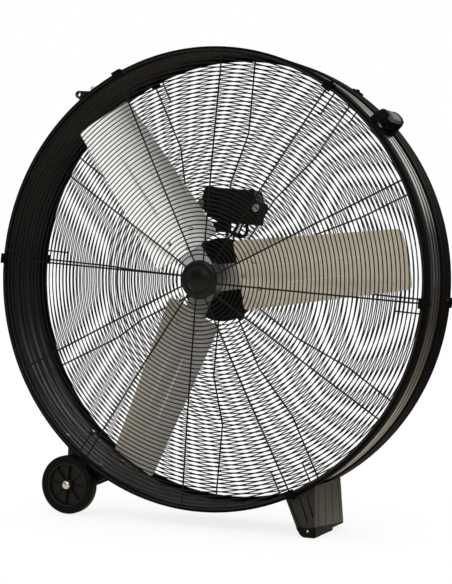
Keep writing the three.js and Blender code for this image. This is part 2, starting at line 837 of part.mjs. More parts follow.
// The foot widens towards the floor at both ends and at its side
function flared(geometry) {
  const middle = (footFront + footBack) / 2;
  const position = geometry.attributes.position;
  for (let i = 0; i < position.count; i += 1) {
    const share = (footCorner.y - position.getZ(i)) / (footCorner.y - floorDepth);
    const end = (position.getY(i) - middle) / (footBack - middle);
    position.setX(i, position.getX(i) + footDraft * share);
    position.setY(i, position.getY(i) + footFlare * share * end);
  }
  return geometry;
}

// The foot's section, drawn up into the drum's own space, which is cut away afterwards
function footSection(inset) {
  const inner = polar(footSeat, footInnerAngle);
  const lean = inset * 1.2;
  const toe = new THREE.Vector2(footSide - footToeWidth - 2, footBottom + 4);
  const top = inner.clone().lerp(toe, -0.3);
  return polygon([
    [top.x + lean, top.y], [toe.x + lean, toe.y + inset], [toe.x + lean + 4, footBottom + inset],
    [footSide - inset, footBottom + inset], [footSide - inset, footCorner.y + 3 * footWall],
  ]);
}

function drumSpace(radius) {
  const step = (footOuterAngle - footInnerAngle) / footSteps;
  const shape = new THREE.Shape();
  shape.absarc(0, 0, radius, footInnerAngle - step, footOuterAngle + step, false);
  shape.lineTo(0, 0);
  return slab(shape, 0, drumDepth, footSteps + 2);
}

const underDrum = (radius, section, front, back) =>
  cut(flared(slab(section, front, back)), drumSpace(radius));

// Room in its roof for the rear clip that sits above it
function clipRelief() {
  const half = clipWidth / 2 + 1;
  const space = polygon([
    [drumRadius - 5, -half], [drumRadius + 12, -half], [drumRadius + 12, half], [drumRadius - 5, half],
  ]);
  return onStation(slab(space, drumDepth - clipLeg - 1, drumDepth + 20), clipAngles[footClip]);
}

function footBody() {
  const backing = footFront + footPocket + footShell;
  const grooveTop = footBottom + 56;
  const grooveFloor = footBottom + 10;
  const slant = 19;
  const frontGroove = (left) => flared(slab(polygon([
    [left, grooveTop], [left + footGrooveWidth, grooveTop], [left + slant + footGrooveWidth, grooveFloor],
    [left + slant, grooveFloor],
  ]), footFront, footFront + footPocket + footGrooveDepth));
  const sideTop = footCorner.y - 8;
  const sideGroove = polygon([
    [footSide - footGrooveDepth, sideTop], [footSide + 1, sideTop], [footSide + 1, grooveFloor],
    [footSide - footGrooveDepth, grooveFloor],
  ]);
  const groovePitch = (footBack - footFront) / (footGrooveCount - 0.1);
  const sideGrooves = Array.from({ length: footGrooveCount }, (_, k) => {
    const front = footFront + (k + 0.45) * groovePitch;
    return flared(slab(sideGroove, front, front + footGrooveWidth));
  });
  return cut(
    underDrum(footSeat, footSection(0), footFront, footBack),
    underDrum(footSeat + footWall, footSection(footWall), footFront - 1, footFront + footPocket),
    underDrum(footSeat + footShell, footSection(footShell), backing, footBack + 1),
    frontGroove(footSide - 40),
    frontGroove(footSide - 23),
    clipRelief(),
    ...sideGrooves,
    ...footBolts.map((bolt) => boltHole(bolt, drumRadius - 3, drumRadius + 12)),
  );
}

function footPad() {
  const toeLeft = footSide - footToeWidth;
  const toe = slab(polygon([
    [toeLeft, padTop], [toeLeft + 3, padTop - 4], [toeLeft + 8, floorDepth + 2], [toeLeft + 14, floorDepth],
    [footSide - 3, floorDepth], [footSide, floorDepth + 3], [footSide, padTop],
  ]), footFront, footFront + padFrontLength);
  const heelRight = footSide - 16;
  const heel = slab(polygon([
    [toeLeft + 7, padTop], [toeLeft + 10, floorDepth], [heelRight, floorDepth], [heelRight + 2, padTop],
  ]), footFront + padFrontLength - 2, footBack);
  return flared(join(toe, heel));
}

// ---------------------------------------------------------------- handle

const handleReach = handleHalfWidth / drumRadius;
const wallOutside = drumRadius - wallInset;
const handleSeat = seatOn(wallOutside, 2 * handleReach, handleSteps);
const handleFront = wallStart + 1;
const handleBack = wallEnd - 0.5;
const handleRear = handleBack - handleEnd;
const handleScrews = [handleFront + handleEnd + 3.5, handleRear - 6.2];

const fromWall = ([rise, side]) => [wallOutside + rise, side];

function handleBracket(outline, front, tabFrom, tabTo, screwDepth) {
  const arched = () => new THREE.Shape().absarc(0, 0, handleSeat, -handleReach, handleReach, false);
  const face = arched();
  outline.map(fromWall).forEach(([radial, side]) => face.lineTo(radial, side));
  const sheet = arched().absarc(0, 0, handleSeat + handleTabThickness, handleReach, -handleReach, true);
  const block = slab(face, front, front + handleEnd, handleSteps);
  const tab = slab(sheet, tabFrom, tabTo, handleSteps);
  const bore = radialBar(boreFor(screwRadius, 8), drumRadius - 12, drumRadius + 8, 8);
  return cut(join(block, tab), bore.translate(0, screwDepth, handleScrewSide));
}

function handleGrip() {
  const section = polygon(gripOutline.map(fromWall));
  return slab(section, handleFront + handleEnd + gap, handleRear - gap);
}

// Self-tapping screw through a sheet whose outside lies at radius face, with its end inside the drum
function sheetScrew(depth, face, rise) {
  const inside = insideSeat(depth, screwHead);
  const seat = face + gap;
  const head = screwHead + 1;
  return turned([
    [0, inside - 3], [screwHead, inside - 3], [screwHead, inside], [screwRadius, inside], [screwRadius, seat],
    [head, seat], [head - 1, seat + rise * 0.8], [0, seat + rise],
  ], 8).rotateZ(-Math.PI / 2);
}

// ---------------------------------------------------------------- cord hook

const hookSeat = seatOn(drumRadius, hookTo - hookFrom, hookSteps);
const hookScrewDepth = (hookFront + hookBack) / 2;

// A strip that rises from its screwed foot and closes in an eye
function cordHook() {
  const eye = drumRadius + eyeRise;
  const top = hookSeat + hookThickness;
  const foot = curvedSheet(hookSeat, top, hookFrom, hookTo, hookFront, hookBack, hookSteps);
  const strip = slab(polygon([
    [hookSeat + hookThickness / 2, -30], [eye + eyeRadius - 1, -4], [eye, eyeRadius - 1],
    [hookSeat + hookThickness / 2, 5],
  ]), hookFront + 2, hookBack - 2);
  const disc = (radius, from, to) => slab(
    new THREE.Shape().absarc(eye, 0, radius, 0, 2 * Math.PI, false), from, to, eyeFacets / 2,
  );
  const bore = onStation(radialBar(boreFor(screwRadius, 8), drumRadius - 3, drumRadius + 8, 8), hookScrewAt);
  return cut(
    join(foot, strip, disc(eyeRadius, hookFront + 2, hookBack - 2)),
    disc(eyeBore, hookFront, hookBack),
    bore.translate(0, hookScrewDepth, 0),
  );
}

// ---------------------------------------------------------------- assembly

function screwHole(angle, depth, side) {
  const hole = radialBar(boreFor(screwRadius, 8), drumRadius - 12, drumRadius + 4, 8);
  return onStation(hole.translate(0, depth, side), angle);
}

addPiece('drum_shell', drumShell([
  ...bracketBolts.map((bolt) => boltHole(bolt, drumRadius - 12, drumRadius + 4)),
  ...footBolts.map((bolt) => boltHole(bolt, drumRadius - 12, drumRadius + 4)),
  ...handleScrews.map((depth) => screwHole(handleAngle, depth, handleScrewSide)),
  screwHole(hookAngle + hookScrewAt, hookScrewDepth, 0),
]), blackEnamel());

const frontGuard = wireGuard(frontSpokePath, badgeRingRadius, frontRingStart, -rimWire - gap);
const rearGuard = wireGuard(rearSpokePath, rearRingStart, rearRingStart, drumDepth + rimWire + gap);
addPiece('front_guard', frontGuard, blackWire());
addPiece('rear_guard', rearGuard, blackWire());
addPiece('hub_badge', hubBadge(), blackPlastic());
addPiece('badge_washer', badgeWasher(), greyMetal());

clipAngles.forEach((angle, k) => {
  addPiece(`front_clip_${k + 1}`, rimClip(0, -1), blackEnamel(), station(angle));
  addPiece(`rear_clip_${k + 1}`, rimClip(drumDepth, 1), blackEnamel(), station(angle));
});

addPiece('motor_shaft', motorShaft(shaftEnd), greyMetal());
addPiece('blade_hub', bladeHub(), greyMetal());
bladeAngles.forEach((angle, k) => {
  addPiece(`blade_${k + 1}`, bladeSheet(0, 1, 1, 0, bladeThickness, 10, 4), galvanised(), station(angle));
});

addPiece('motor_plate', motorPlate(), blackEnamel());
addPiece('motor_bell', motorBell(), blackEnamel());
addPiece('motor_shell', motorShell(), blackEnamel());
addPiece('motor_rear_cap', motorRearCap(), blackEnamel());
motorBoltAngles.forEach((angle, k) => {
  const spot = polar(motorBoltCircle, angle);
  addPiece(`motor_bolt_${k + 1}`, motorBolt(), plated()).position.set(spot.x, 0, spot.y);
});

const boxStation = station(boxAngle);
addPiece('switch_box', switchBox(), blackPlastic(), boxStation);
addPiece('switch_box_cover', switchBoxCover(), blackPlastic(), boxStation);
addPiece('speed_knob', speedKnob(), blackPlastic(), boxStation).position.set(...knobPlace);
addPiece('cable_gland', cableGland(), blackPlastic(), boxStation).position.set(...glandPlace);
[boxScrewSide, -boxScrewSide].forEach((side, k) => {
  const screw = addPiece(`box_screw_${k + 1}`, screwAndWasher(), plated(), boxStation);
  screw.position.set(boxScrewRadius, 0, side);
});
addPiece('motor_lead', motorLead(), blackRubber());

addPiece('wheel_bracket', wheelBracket(), blackEnamel());
addPiece('wheel_axle', wheelAxle(), greyMetal()).position.set(wheelCentre.x, 0, wheelCentre.y);
addPiece('transport_wheel', transportWheel(), blackPlastic()).position.set(wheelCentre.x, 0, wheelCentre.y);
addPiece('axle_cap', axleCap(), plated()).position.set(wheelCentre.x, 0, wheelCentre.y);
bracketBolts.forEach(([angle, depth], k) => {
  const bolt = throughBolt(depth, saddleOuter);
  addPiece(`bracket_bolt_${k + 1}`, bolt, plated(), station(angle)).position.y = depth;
});

addPiece('foot_body', footBody(), blackPlastic());
addPiece('foot_pad', footPad(), blackRubber());
footBolts.forEach(([angle, depth], k) => {
  const bolt = throughBolt(depth, footSeat + footShell);
  addPiece(`foot_bolt_${k + 1}`, bolt, plated(), station(angle)).position.y = depth;
});

const handleStation = station(handleAngle);
const [frontScrew, rearScrew] = handleScrews;
const frontBracket = handleBracket(
  frontEndOutline, handleFront, handleFront, frontScrew + handleTabReach, frontScrew,
);
const rearBracket = handleBracket(
  rearEndOutline, handleRear, rearScrew - handleTabReach, handleBack, rearScrew,
);
addPiece('handle_bracket_front', frontBracket, blackPlastic(), handleStation);
addPiece('handle_bracket_rear', rearBracket, blackPlastic(), handleStation);
addPiece('handle_grip', handleGrip(), greyPlastic(), handleStation);
handleScrews.forEach((depth, k) => {
  const screw = sheetScrew(depth, handleSeat + handleTabThickness, 3);
  addPiece(`handle_screw_${k + 1}`, screw, plated(), handleStation).position.set(0, depth, handleScrewSide);
});

addPiece('cord_hook', cordHook(), blackEnamel(), station(hookAngle));
const hookScrew = sheetScrew(hookScrewDepth, hookSeat + hookThickness, hookScrewRise);
addPiece('hook_screw', hookScrew, plated(), station(hookAngle + hookScrewAt)).position.y = hookScrewDepth;

// The fan is centred over its depth and stands on z = 0
const frontMost = -frontDome - 2 * spokeWire - 2 * gap - badgeHeight;
const rearMost = Math.max(capBack, drumDepth + 2 * rimWire + 2 * gap + clipThickness);
fan.position.set(0, -(frontMost + rearMost) / 2, axisHeight);

const part = new THREE.Group();
part.add(fan);

export default part;
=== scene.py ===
"""Drum fan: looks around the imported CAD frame.

Metres, in the frame's own axes: +Z up, the guarded front faces -Y, +X to the right seen from the front.
Round pieces are laid out about the drum's axis: a place is (radius, angle, depth), with the angle from +X
towards +Z and the depth measured back from the front rim.
"""

import json
import math

import bmesh
import bpy
from mathutils import Matrix, Vector


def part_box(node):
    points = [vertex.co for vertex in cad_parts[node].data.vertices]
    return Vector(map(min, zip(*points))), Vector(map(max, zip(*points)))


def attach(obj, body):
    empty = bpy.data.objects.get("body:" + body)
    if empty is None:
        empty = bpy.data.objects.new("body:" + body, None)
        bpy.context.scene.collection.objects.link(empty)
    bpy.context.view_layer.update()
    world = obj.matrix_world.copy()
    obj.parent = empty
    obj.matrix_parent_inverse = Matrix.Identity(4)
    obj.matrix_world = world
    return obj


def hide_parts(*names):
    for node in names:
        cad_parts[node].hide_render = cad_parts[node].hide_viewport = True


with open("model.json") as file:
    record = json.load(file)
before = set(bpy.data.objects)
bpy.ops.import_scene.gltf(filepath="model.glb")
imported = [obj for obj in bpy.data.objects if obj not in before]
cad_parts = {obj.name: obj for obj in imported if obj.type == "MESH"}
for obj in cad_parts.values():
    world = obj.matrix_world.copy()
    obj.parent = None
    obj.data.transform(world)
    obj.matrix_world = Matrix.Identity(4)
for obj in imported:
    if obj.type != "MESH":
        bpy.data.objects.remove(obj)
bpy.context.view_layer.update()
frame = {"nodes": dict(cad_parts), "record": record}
nodes = frame["nodes"]

MM = 0.001
DEGREE = math.pi / 180

# ---------------------------------------------------------------- the frame's own sizes

drum_low, drum_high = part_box("drum_shell")
AXIS_X = (drum_low.x + drum_high.x) / 2
AXIS_Z = (drum_low.z + drum_high.z) / 2
FRONT = drum_low.y                      # plane of the front rim
DRUM_RADIUS = (drum_high.z - drum_low.z) / 2
DRUM_DEPTH = drum_high.y - drum_low.y


def at(radius, angle, depth):
    """A point of the drum, from its radius, its angle and its depth behind the front rim."""
    return Vector((AXIS_X + radius * math.cos(angle), FRONT + depth, AXIS_Z + radius * math.sin(angle)))


def node_depths(node):
    """Where a CAD node starts and ends behind the front rim."""
    low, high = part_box(node)
    return low.y - FRONT, high.y - FRONT


def node_middle(node):
    """The middle of a CAD node's box."""
    low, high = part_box(node)
    return (low + high) / 2


def node_radius(node):
    """The radius of a round CAD node that faces the front."""
    low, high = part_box(node)
    return (high.x - low.x) / 2


# ---------------------------------------------------------------- camera

LENS = 95.79                            # millimetres
PICTURE_HEIGHT = 584                    # pixels along the picture's longer side
HALF_PIXEL = 0.5 / PICTURE_HEIGHT
CAMERA_YAW = 0.41606                    # radians, as is the pitch
CAMERA_PITCH = 0.01051
STANCE_ROLL = 1.25 * DEGREE             # the photographed fan leans by this much about the drum's axis
CAMERA_PLACE = Vector((AXIS_X + 1.5343, FRONT - 3.3313, AXIS_Z + 0.0419))


def make_camera():
    """The camera at the photograph's viewing angle."""
    yaw, pitch = CAMERA_YAW, CAMERA_PITCH
    right = Vector((math.cos(yaw), math.sin(yaw), 0))
    forward = Vector((-math.sin(yaw) * math.cos(pitch), math.cos(yaw) * math.cos(pitch), -math.sin(pitch)))
    up = right.cross(forward)
    turn = Matrix.Rotation(-STANCE_ROLL, 3, "Y")
    axes = Matrix((turn @ right, turn @ up, turn @ -forward)).transposed()
    data = bpy.data.cameras.new("camera")
    data.lens = LENS
    data.shift_x, data.shift_y = -HALF_PIXEL, HALF_PIXEL
    camera = bpy.data.objects.new("camera", data)
    camera.matrix_world = Matrix.Translation(CAMERA_PLACE) @ axes.to_4x4()
    bpy.context.scene.collection.objects.link(camera)
    bpy.context.scene.camera = camera


make_camera()

# ---------------------------------------------------------------- materials

RAMP_ENDS = (0.3, 0.7)                  # where a ramp leaves its low colour and where it reaches its high one
PATCH_DETAIL, GRAIN_DETAIL = 4.0, 2.0
GRAIN_DEPTH = 0.2 * MM


def new_material(name):
    material = bpy.data.materials.new(name)
    material.use_nodes = True
    tree = material.node_tree
    return material, tree, tree.nodes["Principled BSDF"]


def add_node(tree, kind, **inputs):
    node = tree.nodes.new(kind)
    for key, value in inputs.items():
        node.inputs[key.replace("_", " ")].default_value = value
    return node


def object_noise(tree, scale, detail, stretch):
    """Noise in the object's own coordinates, stretched along an axis where stretch is below 1."""
    where = tree.nodes.new("ShaderNodeTexCoord")
    mapping = tree.nodes.new("ShaderNodeMapping")
    mapping.inputs["Scale"].default_value = stretch
    noise = add_node(tree, "ShaderNodeTexNoise", Scale=scale, Detail=detail)
    tree.links.new(where.outputs["Object"], mapping.inputs["Vector"])
    tree.links.new(mapping.outputs["Vector"], noise.inputs["Vector"])
    return noise


def ramp(tree, source, low, high):
    """A ramp between two colours or greys, from a 0 to 1 source."""
    node = tree.nodes.new("ShaderNodeValToRGB")
    for stop, position, colour in zip(node.color_ramp.elements, RAMP_ENDS, (low, high)):
        stop.position = position
        stop.color = (*colour, 1) if isinstance(colour, tuple) else (colour, colour, colour, 1)
    tree.links.new(source, node.inputs["Fac"])
    return node.outputs["Color"]


def surface(name, low, high, rough, metallic=0.0, gloss=0.5, patch=9.0, grain=900.0, strength=0.1,
            stretch=(1, 1, 1)):
    """A surface whose colour drifts from low to high in patches, with a fine grain in its relief."""
    material, tree, shader = new_material(name)
    patches = object_noise(tree, patch, PATCH_DETAIL, stretch)
    tree.links.new(ramp(tree, patches.outputs["Fac"], low, high), shader.inputs["Base Color"])
    tree.links.new(ramp(tree, patches.outputs["Fac"], *rough), shader.inputs["Roughness"])
    shader.inputs["Metallic"].default_value = metallic
    shader.inputs["Specular IOR Level"].default_value = gloss
    fine = object_noise(tree, grain, GRAIN_DETAIL, stretch)
    relief = add_node(tree, "ShaderNodeBump", Strength=strength, Distance=GRAIN_DEPTH)
    tree.links.new(fine.outputs["Fac"], relief.inputs["Height"])
    tree.links.new(relief.outputs["Normal"], shader.inputs["Normal"])
    return material


enamel = surface(
    "satin_enamel", (0.0085, 0.0079, 0.0077), (0.0145, 0.0133, 0.0128), (0.26, 0.36),
    gloss=0.3, grain=300.0, strength=0.05)
collar_enamel = surface(
    "collar_enamel", (0.003, 0.0028, 0.0028), (0.006, 0.0056, 0.0055), (0.5, 0.62),
    gloss=0.02, grain=300.0, strength=0.05)
gloss_enamel = surface(
    "gloss_enamel", (0.005, 0.0047, 0.0045), (0.009, 0.0084, 0.008), (0.11, 0.16),
    gloss=0.6, grain=900.0, strength=0.02)
for coat, amount in (("Coat Weight", 0.9), ("Coat Roughness", 0.1)):
    gloss_enamel.node_tree.nodes["Principled BSDF"].inputs[coat].default_value = amount
wire_black = surface(
    "black_wire", (0.006, 0.0056, 0.0056), (0.012, 0.0112, 0.0112), (0.34, 0.5),
    gloss=0.2, grain=700.0)
black_plastic = surface(
    "black_plastic", (0.003, 0.0028, 0.0028), (0.006, 0.0057, 0.0057), (0.4, 0.5),
    gloss=0.22, grain=1200.0)
foot_plastic = surface(
    "foot_plastic", (0.004, 0.0037, 0.0037), (0.008, 0.0075, 0.0074), (0.36, 0.46),
    gloss=0.6, grain=1200.0)
badge_plastic = surface(
    "badge_plastic", (0.004, 0.0035, 0.0033), (0.008, 0.0072, 0.0067), (0.2, 0.3),
    gloss=0.2, grain=1500.0, strength=0.05)
rubber = surface(
    "black_rubber", (0.006, 0.0057, 0.0055), (0.012, 0.0114, 0.0108), (0.6, 0.8),
    gloss=0.2, grain=1100.0, strength=0.3)
tyre = surface(
    "tyre_rubber", (0.003, 0.0027, 0.0025), (0.006, 0.0056, 0.0051), (0.45, 0.55),
    gloss=0.08, grain=1100.0, strength=0.2)
wheel_plastic = surface(
    "wheel_plastic", (0.0045, 0.0043, 0.0043), (0.009, 0.0086, 0.0086), (0.4, 0.52),
    gloss=0.25, grain=1300.0, strength=0.2)
grip_plastic = surface(
    "grip_plastic", (0.06, 0.057, 0.053), (0.09, 0.086, 0.08), (0.4, 0.52),
    gloss=0.5, grain=1500.0, strength=0.2)
steel = surface(
    "bare_steel", (0.33, 0.335, 0.35), (0.43, 0.435, 0.45), (0.3, 0.4),
    metallic=0.85, grain=800.0)
plated = surface(
    "plated_steel", (0.62, 0.62, 0.58), (0.78, 0.78, 0.73), (0.2, 0.3),
    metallic=1.0, grain=900.0)
# very dark plated steel; on the handle's rear screw, under the grip, this darkness is painted shade
dark_plating_and_shade = surface(
    "dark_plating_and_painted_shade", (0.03, 0.03, 0.03), (0.05, 0.05, 0.05), (0.3, 0.4),
    metallic=1.0, grain=900.0)
sheet = surface(
    "galvanised_sheet", (0.7, 0.69, 0.655), (0.82, 0.81, 0.775), (0.26, 0.36),
    metallic=0.92, patch=30.0, grain=420.0, strength=0.07, stretch=(0.03, 1, 1))
# near-white paint on the blades' pressed creases: a painted highlight that draws the bright line each crease
# catches
crease_highlight = surface(
    "painted_crease_highlight", (0.85, 0.85, 0.82), (0.95, 0.95, 0.93), (0.3, 0.42),
    metallic=0.35, grain=600.0)
deep_black = surface(
    "bracket_plastic", (0.002, 0.0019, 0.0019), (0.0045, 0.0042, 0.0042), (0.5, 0.6),
    gloss=0.1, grain=1100.0)
mark_paint = surface(
    "mark_paint", (0.55, 0.55, 0.53), (0.68, 0.68, 0.66), (0.5, 0.6),
    gloss=0.4, grain=1500.0)

slot_materials = {
    "enamel": enamel, "wire": wire_black, "badge_plastic": badge_plastic, "grey_metal": steel,
    "galvanised": sheet, "plated": plated, "black_plastic": black_plastic, "grey_plastic": grip_plastic,
    "black_rubber": rubber,
}

# ---------------------------------------------------------------- mesh building


class Shape:
    """Vertices and faces that grow piece by piece into one mesh."""

    def __init__(self):
        self.vertices = []
        self.faces = []

    def grid(self, rows, closed_rows=True):
        """Faces between closed rows of points of one length, and from the last row to the first if asked."""
        start, count, width = len(self.vertices), len(rows), len(rows[0])
        for row in rows:
            self.vertices.extend(row)
        for i in range(count if closed_rows else count - 1):
            for j in range(width):
                a, b = start + i * width, start + (i + 1) % count * width
                k = (j + 1) % width
                self.faces.append((a + j, a + k, b + k, b + j))
        return start

    def capped(self, rows):
        """Closed rows of points, one behind the other, with a flat face at both ends."""
        start, width = self.grid(rows, closed_rows=False), len(rows[0])
        last = start + (len(rows) - 1) * width
        self.faces.append(tuple(range(start, start + width)))
        self.faces.append(tuple(range(last, last + width)))

    def tube(self, points, radius, sides=8):
        """A round bar along points, with flat ends."""
        rows = []
        side = None
        for i, point in enumerate(points):
            along = (points[min(i + 1, len(points) - 1)] - points[max(i - 1, 0)]).normalized()
            if side is None:
                side = along.orthogonal()
            side = (side - along * side.dot(along)).normalized()
            other = along.cross(side)
            turns = [2 * math.pi * k / sides for k in range(sides)]
            rows.append([point + (side * math.cos(t) + other * math.sin(t)) * radius for t in turns])
        self.capped(rows)

    def ring(self, radius, depth, wire, facets, sides=6):
        """A round ring of wire about the drum's axis."""
        turns = [2 * math.pi * k / sides for k in range(sides)]
        self.turned([(radius + wire * math.cos(t), depth + wire * math.sin(t)) for t in turns], facets)

    def turned(self, profile, facets, place=at):
        """A hollow body of revolution from a closed line of (radius, depth) points."""
        self.grid([[place(r, 2 * math.pi * i / facets, d) for i in range(facets)] for r, d in profile])

    def spun(self, profile, facets, place=at):
        """A full body of revolution from (radius, depth) points, with a flat disc at both ends."""
        self.capped([[place(r, 2 * math.pi * i / facets, d) for i in range(facets)] for r, d in profile])

    def block(self, outline, front, back, place):
        """An outline of flat points given thickness; place turns (x, depth, z) into a point."""
        self.capped([[place(x, depth, z) for x, z in outline] for depth in (front, back)])

    def piece(self, name, material, slot, body="frame", replaces=(), sharp=35, turn=0.0):
        """The mesh as an object, turned about the drum's axis by an angle."""
        mesh = bpy.data.meshes.new(name)
        mesh.from_pydata([tuple(v) for v in self.vertices], [], self.faces)
        mesh.validate()
        tidy = bmesh.new()
        tidy.from_mesh(mesh)
        bmesh.ops.recalc_face_normals(tidy, faces=tidy.faces)
        tidy.to_mesh(mesh)
        tidy.free()
        mesh.shade_smooth()
        mesh.set_sharp_from_angle(angle=sharp * DEGREE)
        mesh.materials.append(material)
        thing = bpy.data.objects.new(name, mesh)
        centre = Matrix.Translation((AXIS_X, 0, AXIS_Z))
        thing.matrix_world = centre @ Matrix.Rotation(-turn, 4, "Y") @ centre.inverted()
        bpy.context.scene.collection.objects.link(thing)
        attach(thing, body)
        if replaces:
            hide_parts(*replaces)
        return thing


def drawn(x, depth, z):
    """A point in millimetres to the right of the drum's axis, behind the front rim and above the axis."""
    return Vector((AXIS_X + x * MM, FRONT + depth * MM, AXIS_Z + z * MM))


def on_axis(centre):
    """A place function for what turns about its own axis along Y, from radius, angle and depth."""
    return lambda radius, angle, depth: Vector(
        (centre.x + radius * math.cos(angle), FRONT + depth, centre.z + radius * math.sin(angle)))


def on_station(angle):
    """A place function for what is laid out along a radius of the drum: radial, depth, tangential."""
    out = Vector((math.cos(angle), 0, math.sin(angle)))
    along = Vector((-math.sin(angle), 0, math.cos(angle)))
    return lambda radial, depth, tangential: (
        Vector((AXIS_X, FRONT + depth, AXIS_Z)) + out * radial + along * tangential)


# ---------------------------------------------------------------- wire guards

RING_WIRE = 1.5 * MM                    # the wires' radii
SPOKE_WIRE = 2 * MM
STUB_WIRE = SPOKE_WIRE * 0.9
RIM_WIRE = 2.5 * MM
CLEARANCE = 0.3 * MM
WELD = 0.7 * MM                         # how far rings and spokes are pressed into each other
RING_PITCH = 10 * MM
RING_FACETS = 144
SPOKE_ANGLE = 25.65 * DEGREE
SPOKE_COUNT = 12
CLIP_ANGLE = 55.65 * DEGREE
CLIP_COUNT = 6
GUARD_RIM = DRUM_RADIUS - 9 * MM
BADGE_RING = 30 * MM
FRONT_DOME = 12 * MM
DOME_BEND = (300 * MM, 0.7)             # radius at which the dome is still this share of its height
FRONT_FIRST_RING = 60 * MM
REAR_FIRST_RING = 50 * MM
RECESS_DEPTH = 79 * MM
RECESS_BENDS = (48 * MM, 236 * MM, 363 * MM)    # radii: the floor's start and end, and the cone's end
STUB_LENGTH = 62 * MM
STUB_OFFSET = 23 * MM
FRONT_LEAN = (-5.8 * MM, 0.0107)        # the front spokes pass the axis by this much, less towards the rim

recess_floor = DRUM_DEPTH - RECESS_DEPTH
rear_plane = DRUM_DEPTH + SPOKE_WIRE + CLEARANCE
spoke_lift = SPOKE_WIRE + CLEARANCE
front_path = [
    (BADGE_RING - 2 * MM, -FRONT_DOME - spoke_lift), (FRONT_FIRST_RING, -FRONT_DOME - spoke_lift),
    (DOME_BEND[0], -FRONT_DOME * DOME_BEND[1] - spoke_lift),
    (GUARD_RIM - 12 * MM, -spoke_lift), (GUARD_RIM, -spoke_lift),
]
rear_path = [(RECESS_BENDS[0], recess_floor), (RECESS_BENDS[1], recess_floor),
             (RECESS_BENDS[2], rear_plane), (GUARD_RIM, rear_plane)]


def depth_along(path, radius):
    """The depth of a spoke's path at a radius."""
    for (r0, d0), (r1, d1) in zip(path, path[1:]):
        if radius <= r1:
            return d0 + (d1 - d0) * max(0.0, radius - r0) / (r1 - r0)
    return path[-1][1]


def wire_guard(name, node, path, inner_rings, first_ring, rim_depth, lean=(0, 0)):
    """Spokes along a path, rings on them at one pitch, the rim ring and the short rods under the clips."""
    shape = Shape()
    for k in range(SPOKE_COUNT):
        place = on_station(SPOKE_ANGLE + k * 2 * math.pi / SPOKE_COUNT)
        shape.tube([place(radius, depth, lean[0] + lean[1] * radius) for radius, depth in path], SPOKE_WIRE)
    lift = SPOKE_WIRE + RING_WIRE - WELD
    count = int((GUARD_RIM - first_ring - RING_PITCH / 2) / RING_PITCH) + 1
    for radius in [*inner_rings, *(first_ring + k * RING_PITCH for k in range(count))]:
        shape.ring(radius, depth_along(path, radius) - lift, RING_WIRE, RING_FACETS)
    shape.ring(GUARD_RIM, rim_depth, RIM_WIRE, RING_FACETS)
    stub_depth = depth_along(path, GUARD_RIM)
    for k in range(CLIP_COUNT):
        place = on_station(CLIP_ANGLE + k * 2 * math.pi / CLIP_COUNT)
        ends = (GUARD_RIM - STUB_LENGTH, GUARD_RIM - 1 * MM)
        shape.tube([place(end, stub_depth, -STUB_OFFSET) for end in ends], STUB_WIRE)
    shape.piece(name, wire_black, "wire", replaces=(node,))


wire_guard("front_guard_wires", "front_guard", front_path, (BADGE_RING,), FRONT_FIRST_RING,
           -RIM_WIRE - CLEARANCE, FRONT_LEAN)
wire_guard("rear_guard_wires", "rear_guard", rear_path, (), REAR_FIRST_RING,
           DRUM_DEPTH + RIM_WIRE + CLEARANCE)

# ---------------------------------------------------------------- drum

SHELL = 1.5 * MM
COLLAR_DEPTH = 30 * MM
REAR_COLLAR_DEPTH = 72 * MM
WALL_INSET = 4 * MM
FLANGE = 13 * MM
FRONT_LIP = 3 * MM                      # how far back the front flange's finish reaches
ROUNDING = 2.5 * MM                     # of the rims' edges
EDGE_STEP = 0.7 * MM                    # the middle of such a rounding
WALL_GROOVES = 3                        # rolled into the wall
WALL_GROOVE = (1.5 * MM, 8 * MM)        # depth and width
COLLAR_GROOVE = (1.0 * MM, 6 * MM)
COLLAR_GROOVE_SHARES = (0.3, 0.72)      # where they lie across the rear collar
DRUM_FACETS = 240
RIM_SCREW = (-3.64 * DEGREE, 171 * MM)  # angle and depth of the bright screw in the rear collar
RIM_SCREW_RADIUS = 2.8 * MM

wall_radius = DRUM_RADIUS - WALL_INSET
wall_from = COLLAR_DEPTH + WALL_INSET
wall_to = DRUM_DEPTH - REAR_COLLAR_DEPTH - WALL_INSET


def groove(radius, middle, depth, width, steps=6):
    """A rolled groove in a sheet: a smooth dip of the given depth."""
    dip = lambda share: depth * 0.5 * (1 + math.cos(math.pi * (2 * share - 1)))
    return [(radius - dip(k / steps), middle + width * (k / steps - 0.5)) for k in range(steps + 1)]


def drum_line():
    """The outer line of the drum's sheet from the front flange to the rear flange."""
    rounded_edge = [
        (DRUM_RADIUS - FLANGE, 0), (DRUM_RADIUS - ROUNDING, 0), (DRUM_RADIUS - EDGE_STEP, EDGE_STEP),
        (DRUM_RADIUS, ROUNDING)]
    line = [*rounded_edge, (DRUM_RADIUS, COLLAR_DEPTH), (wall_radius, wall_from)]
    pitch = (wall_to - wall_from) / (WALL_GROOVES + 0.5)
    for k in range(WALL_GROOVES):
        line += groove(wall_radius, wall_from + (k + 0.75) * pitch, *WALL_GROOVE)
    line += [(wall_radius, wall_to), (DRUM_RADIUS, DRUM_DEPTH - REAR_COLLAR_DEPTH)]
    for share in COLLAR_GROOVE_SHARES:
        line += groove(DRUM_RADIUS, DRUM_DEPTH - REAR_COLLAR_DEPTH * (1 - share), *COLLAR_GROOVE)
    return line + [(radius, DRUM_DEPTH - depth) for radius, depth in rounded_edge[::-1]]


